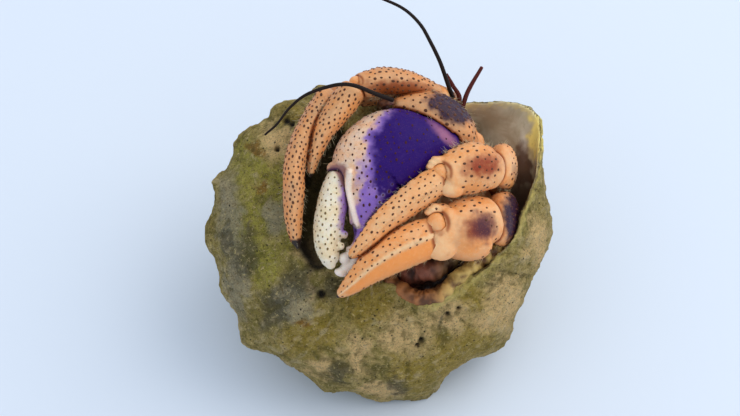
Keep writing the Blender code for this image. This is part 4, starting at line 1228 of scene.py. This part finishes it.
def tinted(name, points, share, angle):
    """The marks of a limb's skin: darker and cream patches, horny tip, bare grooves, painted shade and a
    painted highlight.
    """
    marks = {key: np.zeros(len(points)) for key in PLATE_MARKS}
    warp = wander(points, 1.4, 21.0)
    add_patches(marks, name, points, warp)
    if slot_of(name) == SKIN:
        # Painted shade on the limb's flanks and a painted highlight, in cream, along its front.
        front = np.sin(np.radians(angle))
        deepen(marks, "painted_shade", FLANK_PAINTED_SHADE * (1 - smooth_step(front, -0.1, 0.8)))
        # Painted shade over the whole of a shaded limb.
        deepen(marks, "painted_shade", SHADED.get(name, 0))
        deepen(marks, "cream", 0.3 * smooth_step(front, 0.7, 1.0))
    if name == "left_leg3_dactyl":
        smooth = smooth_step(angle, 90, 106) * (1 - smooth_step(angle, 160, 180))
        marks["bare"] = 0.62 * smooth * (1 - smooth_step(share, 0.74, 0.92))
        marks["painted_shade"] = marks["painted_shade"] * (1 - smooth)
        marks["cream"] = bell(angle, 90, 7) * 0.8
    if name.endswith("dactyl"):
        marks["horn"] = smooth_step(share, *HORN_TIPS.get(name, HORN_TIP))
    add_socket_shade(marks, name, points)
    if name == "left_claw_palm":
        tint_palm(marks, points, share, warp)
    if name == "left_claw_finger":
        across = points[:, 0] + 0.4 * warp
        marks["mid"] = smooth_step(across, -7.2, -5.6) * smooth_step(points[:, 1], -0.5, 2.5)
    return marks


def front_at(points, across, up, reach=0.8):
    """How far out a body's front comes at a place."""
    near = np.hypot(points[:, 0] - across, points[:, 1] - up) < reach
    return points[near, 2].max()


def finger_rib(points):
    """The rounded rib that lies along the front of the fixed finger."""
    stations = [(across, up, front_at(points, across, up) - 0.1, wide, wide)
                for across, up, wide in FINGER_RIB]
    return Limb(stations).body(sides=20, every=2)


def claw_teeth(name):
    """The blunt teeth along a finger of the big claw."""
    return [Limb([(*root, wide, wide), (*crown, narrow, narrow)]).body(sides=16, every=5)
            for root, crown, wide, narrow in CLAW_TEETH.get(name, ())]


def build_limb(name, order, finish):
    """A limb's fine skin, cut clear of the limbs in front of it, with its tubercles."""
    limb = limb_of(name)
    seen = name in TUBERCLES
    sides = 96 if seen else 26
    bodies = [limb.body(sides, -SKIN_DROP, EDGES.get(name, ()), 1 if seen else 4)]
    bodies += [ball(centre, size) for centre, size in LUMPS.get(name, ())]
    bodies += claw_teeth(name)
    cutters = []
    if name == "left_claw_palm":
        bodies.append(finger_rib(bodies[0][0]))
        cutters.append(mesh_from("gap", *ball(*FINGER_GAP)))
    if knuckle_of(name):
        centre, size = knuckle_of(name)
        cutters.append(mesh_from("socket", *ball(centre, np.array(size) + SEEN_GAP)))
    piece = united(name + "_skin", bodies)
    box = box_of(points_of(piece))
    beside = []
    for other in order:
        form = plain_form(other, SEEN_GAP)
        if other == name or not meets(box, box_of(form[0])):
            continue
        beside.append(form)
        if order.index(other) < order.index(name):
            cutters.append(mesh_from("cutter", *form))
    if cutters:
        combine(piece, cutters, "DIFFERENCE")
        keep_largest(piece)
    if name in LOBES:
        piece = united(name + "_skin", [ball(centre, size) for centre, size in LOBES[name]], piece)
    evened(piece, LIMB_VOXEL if seen else 2 * LIMB_VOXEL)
    points, normals = points_of(piece), normals_of(piece)
    rough = wander(points, 1.6, 2.0) * 0.06 - 0.03 + wander(points, 0.5, 4.0, 2) * 0.025
    move_points(piece, points + normals * rough[:, None])
    points = points_of(piece)
    share, angle, near = limb.places(points)
    marks = tinted(name, points, share, angle)
    # Painted shade where the limb's skin comes close to its neighbours, fainter on cream and on deep purple.
    if seen and beside:
        share_of_painted_shade = 0.6 if name.endswith("propodus") else 1.0
        deepen(marks, "painted_shade", share_of_painted_shade * near_painted_shade(points, beside))
        marks["painted_shade"] = marks["painted_shade"] * (1 - 0.9 * smooth_step(marks["cream"], 0.25, 0.45))
        marks["painted_shade"] = marks["painted_shade"] * (1 - marks["deep"].clip(0, 1))
    store(piece, marks)
    if name in BRISTLES:
        root_bristles(name, limb, points, normals, share, angle, near)
    if seen:
        piece = add_tubercles(piece, name, limb, points, normals, share, near)
    return dress(piece, finish, slot_of(name), name)


def near_painted_shade(points, beside):
    """Painted shade where a limb's skin comes close to its neighbours."""
    forms, faces = joined(beside)
    tree = BVHTree.FromPolygons(forms.tolist(), faces.tolist())
    found = (tree.find_nearest(spot, PAINTED_SHADE_REACH[1])[3] for spot in points)
    far = np.array([PAINTED_SHADE_REACH[1] if distance is None else distance for distance in found])
    return 1 - smooth_step(far, *PAINTED_SHADE_REACH)


def ring_tubercles(piece, points, chosen):
    """Marks a ring round each of the palm's tubercles where it is deep purple."""
    tree = tree_of(points[chosen], chosen)
    far = np.array([tree.find(spot)[2] for spot in points])
    low = 1 - smooth_step(points[:, 1], *RING_HEIGHTS)
    purple = smooth_step(values_of(piece, "deep"), 0.2, 0.6)
    halo = (1 - smooth_step(far, *RING_REACH)) * purple * 0.7 * low
    rings = np.maximum(values_of(piece, "ring"), halo).astype(np.float32)
    piece.data.attributes["ring"].data.foreach_set("value", rings)


def add_tubercles(piece, name, limb, points, normals, share, near):
    """Scatters a limb's tubercles over its open skin."""
    spacing, radius, height = TUBERCLES[name]
    seed = sum(map(ord, name))
    good = (share > 0.03) & (share < TUBERCLE_END.get(name, USUAL_END))
    good &= values_of(piece, "bare") <= BARE_FROM
    good &= limb.distance(points, near) > 0.8 * limb.half[near].min(axis=1)
    if name in SMOOTH_SKIN:
        good &= oval_reach(points, *SMOOTH_SKIN[name]) >= 1
    chosen = [number for number in scattered(points, spacing, seed) if good[number]]
    if name == "left_claw_palm":
        chosen = thinned(piece, points, chosen)
    if not chosen:
        return piece
    along = limb.heading[len(limb.heading) // 2]
    shapes, faces, levels = domes(points[chosen], normals[chosen], radius, height, seed + 1, along)
    extra = {key: np.zeros(len(shapes)) for key in PLATE_MARKS}
    each = len(levels) // len(chosen)
    for key in ("deep", "mid", "cream", "painted_shade"):
        extra[key] = np.repeat(values_of(piece, key)[chosen], each)
    extra["dot"] = levels * DOT_SHARES.get(name, 1.0)
    if name == "left_claw_palm":
        ring_tubercles(piece, points, chosen)
    return join_plain(piece, shapes, faces, extra)


def thinned(piece, points, chosen):
    """The palm's tubercles: fewer where it is deep purple, and none on the rib."""
    draw = random.Random(29)
    deep = values_of(piece, "deep")
    rib = values_of(piece, "cream")
    kept = np.interp(points[:, 1], RING_HEIGHTS, SPARSE_SHARES)
    return [number for number in chosen
            if rib[number] < 0.4 and (deep[number] < 0.3 or draw.random() < kept[number])]


def hair(root, lie, length, thick):
    """One thin, curved bristle: points and triangles."""
    over = unit(np.cross(lie, (0.3, 0.2, 0.93)))
    turn = np.linspace(0, 2 * math.pi, HAIR_SIDES, endpoint=False)
    ring = np.outer(np.cos(turn), over) + np.outer(np.sin(turn), np.cross(lie, over))
    rows = []
    for share in np.linspace(0, 1, HAIR_RINGS):
        centre = root + lie * length * share + over * HAIR_CURL * length * share**2
        rows.append(centre + thick * (1 - HAIR_TAPER * share) * ring)
    return capped(rows)


def build_bristles(finish):
    """The pale bristles on the limbs' edges, as one piece, with each on its own patch of the OFBake map."""
    draw = random.Random(41)
    bodies, patches = [], []
    for tile, roots in enumerate(BRISTLE_ROOTS.values()):
        for spot, normal, heading, share, angle in roots:
            lie = unit(normal * draw.uniform(0.5, 1.0) + heading * draw.uniform(0.3, 0.9)
                       + np.array([draw.uniform(-0.25, 0.25) for _ in range(3)]))
            bodies.append(hair(spot - lie * 0.1, lie, draw.uniform(0.5, 1.5), draw.uniform(0.02, 0.032)))
            column = (tile + 0.1 + 0.8 * (angle + 180) / 360) / len(BRISTLE_ROOTS)
            patches.append((column, 0.05 + 0.9 * share))
    piece = mesh_from("bristles", *joined(bodies))
    corners = table(piece.data.loops, "vertex_index", 1, np.int32).ravel()
    each = len(bodies[0][0])
    number = corners % each
    offset = np.stack((number // HAIR_SIDES / HAIR_RINGS, number % HAIR_SIDES / HAIR_SIDES), 1) * BAKE_PATCH
    layer = piece.data.uv_layers.new(name="OFBake")
    layer.data.foreach_set("uv", (np.array(patches)[corners // each] + offset).astype(np.float32).ravel())
    return dress(piece, finish, SKIN)


def root_bristles(name, limb, points, normals, share, angle, near):
    """Picks places for bristles, mostly along the limb's raised edges."""
    draw = random.Random(sum(map(ord, name)) + 7)
    crests = [edge[0] for edge in EDGES.get(name, ())] or [0, 180]
    turns = [np.exp(1j * np.radians(angle - crest)) for crest in crests]
    off = np.min([np.abs(np.degrees(np.angle(turn))) for turn in turns], axis=0)
    open_skin = limb.distance(points, near) > 0.85 * limb.half[near].min(axis=1)
    good = np.flatnonzero((off < 16) & (share > 0.05) & (share < 0.93) & open_skin)
    picked = draw.sample(list(good), min(BRISTLES[name], len(good)))
    roots = [(points[k], normals[k], limb.heading[near[k]], share[k], angle[k]) for k in picked]
    if name == "left_leg2_propodus":
        for step in np.linspace(0, 1, COMB_COUNT):
            across, up = np.array(COMB[0]) * (1 - step) + np.array(COMB[1]) * step
            spot = np.array((across, up, front_at(points, across, up)))
            roots.append((spot, COMB_LIE, COMB_LIE, 0.2 + 0.3 * step, 90.0))
    BRISTLE_ROOTS[name] = roots


def build_feeler(name, finish, rows=420, beads=130):
    """A ringed feeler, tapering to its tip."""
    limb = limb_of(name, rows)
    bead = 0.5 + 0.5 * np.cos(np.linspace(0, 2 * math.pi * beads, rows))
    limb.half = np.maximum(limb.half - 0.03, THINNEST) * (0.9 + 0.1 * bead[:, None])
    piece = mesh_from(name + "_rings", *limb.body(sides=12))
    near = limb.places(points_of(piece))[2]
    store(piece, {"band": 1 - bead[near], "red": np.full(len(near), 1.0 if "antennule" in name else 0.0)})
    return dress(piece, finish, slot_of(name), name)


def build_eye(name, finish):
    """A rounded, glossy eye at the end of its stalk."""
    stations = LIMBS[name][1]
    first, last = np.array(stations[0]), np.array(stations[-1])
    middle = (first[:3] + last[:3]) / 2
    length = np.linalg.norm(last[:3] - first[:3]) + 0.9
    heading = unit(last[:3] - first[:3])
    side = unit(np.cross(heading, (0.0, 0.0, 1.0)))
    up = np.cross(side, heading)
    half = first[3] / 2
    piece, flat = round_piece(name + "_ball", 28, 18)
    points = middle + (flat[:, :1] * side + flat[:, 1:2] * up) * half + flat[:, 2:] * heading * length / 2
    move_points(piece, points)
    return dress(outwards(piece), finish, slot_of(name), name)


def build_knuckle(name, finish):
    """The rounded end of a dactyl that shows in its propodus's socket."""
    centre, size = KNUCKLES[name]
    piece, flat = round_piece(name, 24, 16)
    move_points(piece, np.array(centre) + flat * np.array(size))
    return dress(outwards(piece), finish, SKIN)


# The shell's skin

SHELL_VOXEL = 0.4
# Stains of the shell: the mark, its middle across and up, and half sizes.
STAINS = (
    ("green", -21.5, 13.0, 4.6, 5.4), ("green", -19.0, 8.6, 5.8, 6.0), ("green", -21.6, 2.0, 4.4, 6.0),
    ("green", -19.6, -4.0, 3.8, 5.0), ("green", -14.0, 2.0, 3.4, 7.0), ("dark", -22.6, -2.6, 2.6, 4.6),
    ("dark", -26.0, 0.0, 1.6, 4.0), ("grey", -25.6, 4.0, 2.6, 9.0), ("grey", -24.6, -8.0, 2.6, 7.0),
    ("grey", -17.5, 4.0, 3.0, 4.0), ("grey", -15.0, -11.0, 4.0, 4.0), ("pale", -18.0, 17.6, 3.0, 3.0),
    ("dark", -14.5, 19.4, 0.5, 1.7), ("dark", -15.6, 20.6, 1.1, 0.5), ("pale", -12.0, -7.4, 0.6, 3.0),
    ("pale", -11.0, -2.0, 3.4, 3.0), ("pale", 0.0, -26.4, 4.0, 1.6),
    ("rust", -21.0, 15.6, 1.4, 1.2), ("rust", -19.8, 9.4, 1.3, 1.4), ("rust", -12.0, -14.0, 1.6, 1.2),
    ("pale", -17.2, 16.8, 3.6, 3.8), ("dark", -17.9, -12.0, 3.6, 4.2), ("dark", -8.0, -7.8, 2.2, 2.8),
    ("yellow", -12.0, -15.8, 6.0, 5.0), ("pale", -4.0, -19.6, 2.8, 4.8),
    ("dark", -6.8, -23.4, 2.0, 2.0), ("dark", 3.0, -25.4, 2.2, 1.8), ("dark", -13.6, -7.0, 3.0, 3.0),
    ("yellow", 12.0, -20.6, 5.0, 5.0), ("pale", 22.0, -11.0, 4.4, 6.0), ("pale", 4.4, -16.0, 5.0, 4.4),
    ("pale", 12.0, -13.6, 4.4, 3.4), ("yellow", 17.0, -17.4, 4.0, 3.4), ("pale", 28.0, -1.0, 3.0, 5.4),
    ("dark", 11.2, -14.4, 0.7, 2.0),
    ("yellow", -2.0, -10.6, 5.0, 5.0), ("yellow", 6.0, -23.0, 5.0, 4.0), ("pale", -10.0, -22.0, 3.0, 2.0),
    # The shade stain is painted shade on the pearly inside.
    ("shade", 25.0, 12.4, 1.8, 4.6), ("yellow", -3.0, 21.6, 4.0, 3.0), ("yellow", -14.0, 22.0, 4.0, 2.0),
    ("yellow", 16.0, -10.0, 4.0, 3.0), ("pale", 18.0, -14.0, 2.6, 2.6),
)
# Clouded stains of the shell's back: the mark, its seed and share.
BACK_STAINS = (("green", 11.0, 0.7), ("dark", 13.0, 0.5), ("pale", 15.0, 0.7), ("yellow", 17.0, 0.6))
# The lip's stain, the painted highlight inside the mouth and the olive wall above the claw: across and up,
# and half sizes.
LIP_STAIN = (27.7, 18.4, 2.0, 5.2)
PAINTED_HIGHLIGHT = (25.1, 15.4, 0.7, 4.0)
OLIVE_WALL = (-3.4, 20.6, 3.2, 3.0)
# Where the painted shade inside the mouth behind the legs fades, across and up, and where the inner lip turns
# tan.
BEHIND_ACROSS = (15.5, 20.5)
BEHIND_UP = (10.0, 17.0)
RIDGE_TAN = (8.0, 14.0)
# Pinholes, darkened with painted shade: place across and up, and half size.
PITS = (
    (7.5, -17.3, 0.5), (6.8, -18.2, 0.4), (13.8, -11.8, 0.4), (12.0, -12.8, 0.4), (-9.6, -9.2, 0.8),
    (-17.2, 15.7, 0.5), (-15.9, 20.9, 0.7), (-14.9, 20.2, 0.5),
)


def shell_form(order):
    """The shell as one closed surface of even fineness."""
    turns = [whorl_turn(BODY_END - 360 * turn, BODY_END - 360 * (turn - 1) + 10 * (turn > 1), 2.5 * turn,
                        57 - 12 * turn) for turn in (1, 2, 3)]
    base = shell_axes()[0]
    column = [(*axis_places(np.float64(-1500), 0, 0), 4, 4), (*axis_places(np.float64(-300), 0, 0.3), 5, 5)]
    tip = [(*(AXIS_PLACE + along * base), width, width) for along, width in zip(TIP_ALONG, TIP_WIDTHS)]
    bodies = turns + [
        Limb(column).body(sides=12, every=8),
        Limb(tip).body(sides=24, every=4),
        Limb(INNER_LIP).body(sides=24, swell=-0.3, every=2),
        outer_wall(),
    ]
    piece = united("shell_skin", bodies)
    cutters = [mesh_from("hollow", *Limb(WORN_HOLLOW).body(sides=24, every=4))]
    cutters += [mesh_from("cutter", *plain_form(name, GAP)) for name in order]
    combine(piece, cutters, "DIFFERENCE")
    keep_largest(piece)
    evened(piece, SHELL_VOXEL)
    return piece


def shell_places(points, normals):
    """For each point of the shell: its bearing, place down the outline and whether it faces inwards."""
    angles = np.arange(BODY_END - 1080, LIP_PATH[-1][0] + 1, 2.0)
    down = np.linspace(0, 1, 60)
    grid = shell_surface(angles[:, None], down[None, :])
    facing = wall_normals(angles[:, None], np.broadcast_to(down, (len(angles), len(down))))
    tree = tree_of(grid.reshape(-1, 3), range(grid.size // 3))
    near = np.array([tree.find(spot)[1] for spot in points])
    angle = angles[near // len(down)]
    along = down[near % len(down)]
    away = (normals * facing.reshape(-1, 3)[near]).sum(axis=1)
    return angle, along, away


def spot_of(points, across, up, wide, tall, full, gone):
    """An oval stain, 1 in its middle, that is full and gone at parts of its half sizes."""
    return 1 - smooth_step(oval_reach(points, across, up, wide, tall), full, gone)


def add_stains(marks, points, spread, front):
    """Stains on the shell's front, and clouds of them on its back."""
    for kind, *place in STAINS:
        deepen(marks, kind, spot_of(spread, *place, 0.3, 1.4) * front)
    for kind, seed, share in BACK_STAINS:
        deepen(marks, kind, share * smooth_step(wander(points, 8.0, seed), 0.0, 0.5) * (1 - front))


def tint_mouth(marks, points, spread, inside, wall, rim):
    """The shell's mouth: painted shade deep inside and behind the legs, the olive wall above the claw with
    painted light, its lip and a painted highlight.
    """
    # Painted shade on the inside, darker towards the bottom of the mouth.
    deepen(marks, "shade", inside * smooth_step(-points[:, 1], -16, -5))
    # Painted shade, nearly black, on the inside behind the legs.
    behind = 1 - smooth_step(points[:, 0], *BEHIND_ACROSS)
    behind = behind * (1 - smooth_step(points[:, 1], *BEHIND_UP))
    deepen(marks, "painted_hole_shade", 0.8 * inside * behind)
    # The olive wall above the claw keeps its olive colour, lightened with painted light through the yellow,
    # pale and lip marks.
    olive = spot_of(points, *OLIVE_WALL, 0.7, 1.2)
    marks["painted_hole_shade"] = marks["painted_hole_shade"] * (1 - olive)
    marks["inside"] = marks["inside"] * (1 - olive)
    deepen(marks, "yellow", olive)
    deepen(marks, "pale", 0.7 * olive)
    stain = np.maximum(spot_of(spread, *LIP_STAIN, 0.6, 1.1), rim)
    marks["lip"] = np.maximum(stain * wall, 0.7 * olive)
    marks["pale"] = marks["pale"] * (1 - marks["inside"])
    # A painted highlight on the pearly inside.
    deepen(marks, "pale", inside * spot_of(points, *PAINTED_HIGHLIGHT, 0.3, 1.2))


def build_shell(order, finish):
    """The shell's skin with its folds, growth lines, pits, stains and mouth, and painted shade in its worn
    hollow and pinholes.
    """
    piece = shell_form(order)
    points, normals = points_of(piece), normals_of(piece)
    angle, down, away = shell_places(points, normals)
    wall = smooth_step(angle, WALL_START, WALL_START + 20)
    inside = wall * (1 - smooth_step(away, -0.35, 0.15))
    lip, hollow = Limb(INNER_LIP), Limb(WORN_HOLLOW)
    near = lip.places(points)[2]
    ridge = 1 - smooth_step(lip.distance(points, near) / lip.half[near].max(axis=1), 0.9, 1.2)
    outside = 1 - np.maximum(inside, ridge)
    folds = wander(np.stack((angle / 3.2, down * 1.6, angle * 0), 1), 1.0, 6.0, 3)
    cords = wander(np.stack((angle / 55, down * 17, angle * 0), 1), 1.0, 8.0, 2)
    lumps = wander(points, 4.5, 1.0)
    grit = wander(points, 1.1, 5.0, 3)
    rough = outside * (0.26 * folds + 0.15 * cords + 0.32 * lumps + 0.2 * grit - 0.25) + inside * 0.06 * lumps
    front = smooth_step(normals[:, 2], -0.1, 0.3)
    spread = points[:, :2] + 1.6 * np.stack((wander(points, 3.0, 31.0), wander(points, 3.0, 37.0)), 1)
    marks = {key: np.zeros(len(points)) for key in SHELL_MARKS}
    add_stains(marks, points, spread, front)
    near = hollow.places(points)[2]
    hollow_far = hollow.distance(points, near) / hollow.half[near].mean(axis=1)
    # Painted shade in the worn hollow beside the claw.
    marks["painted_hole_shade"] = 0.95 * (1 - smooth_step(hollow_far, 1.0, 1.5))
    marks["relief"] = 0.5 + np.clip(0.32 * folds + 0.2 * cords + 0.2 * lumps + 0.35 * grit, -0.5, 0.5)
    for across, up, size in PITS:
        pit = spot_of(points, across, up, size, size, 0.6, 1.3) * front * outside
        # Painted shade in the pinhole.
        deepen(marks, "painted_hole_shade", pit)
        rough = rough - pit * 0.7
    marks["inside"] = inside * (1 - ridge)
    edge = np.interp(angle, *zip(*LIP_PATH))
    rim = smooth_step(down - edge, -0.035, -0.005) * (edge < OPEN_EDGE) * (0.35 + 0.25 * grit)
    tint_mouth(marks, points, spread, inside, wall, rim)
    move_points(piece, points + normals * rough[:, None])
    store(piece, marks)
    return dress(piece, finish, "shell", "shell")


# Soft skin that shows under the lowest leg: places across, up and out, width and depth.
SOFT_FOLD = (
    (4.2, -6.2, 0.2, 3.0, 3.4), (6.6, -5.6, 1.8, 4.2, 4.2), (9.2, -4.8, 2.4, 4.6, 4.4),
    (11.6, -3.6, 1.4, 3.8, 3.8), (13.6, -2.4, -0.4, 2.6, 2.6),
)


def build_wrinkled(name, stations, swell, depth, run, seed, finish, slot):
    """A rounded form with folds across it."""
    limb = Limb(stations)
    piece = mesh_from(name, *limb.body(sides=72, swell=swell))
    points, normals = points_of(piece), normals_of(piece)
    share, angle, _ = limb.places(points)
    turn = np.radians(angle)
    along = share * limb.length / run
    folds = wander(np.stack((along, 0.6 * np.cos(turn), 0.6 * np.sin(turn)), 1), 1.0, seed, 3)
    lumps = wander(points, 2.2, seed + 3)
    move_points(piece, points + normals * (depth * (folds + 0.6 * lumps))[:, None])
    store(piece, {"relief": 0.5 + 0.6 * folds + 0.15 * lumps, "tan": smooth_step(points[:, 0], *RIDGE_TAN)})
    return dress(piece, finish, slot)


def keep_in_box(pieces, box):
    """Holds every point inside the solids' own box, so that the model keeps its size."""
    for piece in pieces:
        put_points(piece, np.clip(table(piece.data.vertices, "co", 3), *np.array(box)))


# Camera, floor and light

FLOOR_SIZE = 6.0
FLOOR_TONES = ((0.70, 0.76, 0.87), (0.72, 0.78, 0.88))
SKY_TONE = (0.84, 0.92, 1.0, 1.0)
SKY_STRENGTH = 0.95
# The window's soft light: its place, aim, size, power and tone.
LAMP_PLACE = Vector((0.55, 0.16, 0.7))
LAMP_AIM = Vector((0, 0, 0.02))
LAMP_SIZE = 0.9
LAMP_POWER = 3.8
LAMP_TONE = (1.0, 0.95, 0.86)


def place_camera():
    lens = bpy.data.cameras.new("view")
    lens.sensor_width = SENSOR_WIDTH
    lens.lens = SENSOR_WIDTH * EYE_DISTANCE / VIEW_WIDTH
    lens.clip_start = 0.01
    lens.clip_end = 50.0
    camera = bpy.data.objects.new("view", lens)
    bpy.context.scene.collection.objects.link(camera)
    turned = Matrix([list(axis) for axis in MOUTH_AXES]).transposed().to_4x4()
    turned.translation = to_world((*EYE_AIM, EYE_DISTANCE))
    camera.matrix_world = turned
    bpy.context.scene.camera = camera


def lay_floor():
    deselect_all()
    bpy.ops.mesh.primitive_plane_add(size=FLOOR_SIZE)
    floor = bpy.context.object
    floor.name = "floor"
    look = Finish("floor_paper", {"Specular IOR Level": 0.2})
    cloud = look.grain(60.0, 2, 0.5)
    floor.data.materials.append(look.done(look.mix(cloud * 0.3, *FLOOR_TONES), 0.75 + cloud * 0.05))


def light_studio():
    """A pale sky and one soft window light."""
    bpy.context.scene.view_settings.view_transform = "Standard"
    world = bpy.data.worlds.new("studio")
    world.use_nodes = True
    sky = world.node_tree.nodes["Background"].inputs
    sky["Color"].default_value = SKY_TONE
    sky["Strength"].default_value = SKY_STRENGTH
    bpy.context.scene.world = world
    lamp = bpy.data.lights.new("window", "AREA")
    lamp.size = LAMP_SIZE
    lamp.energy = LAMP_POWER
    lamp.color = LAMP_TONE
    holder = bpy.data.objects.new("window", lamp)
    bpy.context.scene.collection.objects.link(holder)
    holder.location = LAMP_PLACE
    holder.rotation_euler = (LAMP_AIM - LAMP_PLACE).to_track_quat("-Z", "Y").to_euler()


def build_all():
    light_studio()
    place_camera()
    lay_floor()
    orange = plate_finish("crab_orange")
    violet = plate_finish("claw_violet", 0.05)
    cream = plate_finish("claw_cream")
    flesh = plain_finish("soft_flesh", (0.09, 0.028, 0.015), (0.2, 0.08, 0.04), 0.4, 0.8, 0.3)
    eye = plain_finish("eye_black", (0.006, 0.005, 0.005), (0.02, 0.014, 0.01), 0.08, 0.5, 1.0, 0.0)
    rings = feeler_finish()
    hairs = plain_finish("bristle_straw", (0.5, 0.38, 0.2), (0.75, 0.65, 0.42), 0.5, 0.8)
    looks = {SKIN: orange, CREAM: cream, PURPLE: violet, FLESH: flesh}
    order = list(LIMBS)
    pieces = []
    for name in order:
        slot = slot_of(name)
        if slot == FEELER:
            pieces.append(build_feeler(name, rings))
        elif slot == EYE:
            pieces.append(build_eye(name, eye))
        else:
            pieces.append(build_limb(name, order, looks[slot]))
    pieces += [build_knuckle(name, orange) for name in KNUCKLES]
    pieces.append(build_bristles(hairs))
    horn = wrinkled_finish("inner_lip_horn", (0.09, 0.028, 0.006), (0.38, 0.14, 0.04), (0.62, 0.42, 0.12))
    skin = wrinkled_finish("wrinkled_flesh", (0.035, 0.01, 0.006), (0.28, 0.085, 0.045), (0.3, 0.2, 0.08))
    pieces.append(build_wrinkled("inner_lip", INNER_LIP, 0.1, 0.36, 1.2, 51.0, horn, "shell"))
    pieces.append(build_wrinkled("soft_fold", SOFT_FOLD, 0.0, 0.36, 1.2, 61.0, skin, FLESH))
    pieces.append(build_shell(order, shell_finish()))
    keep_in_box(pieces, solid_box)


build_all()
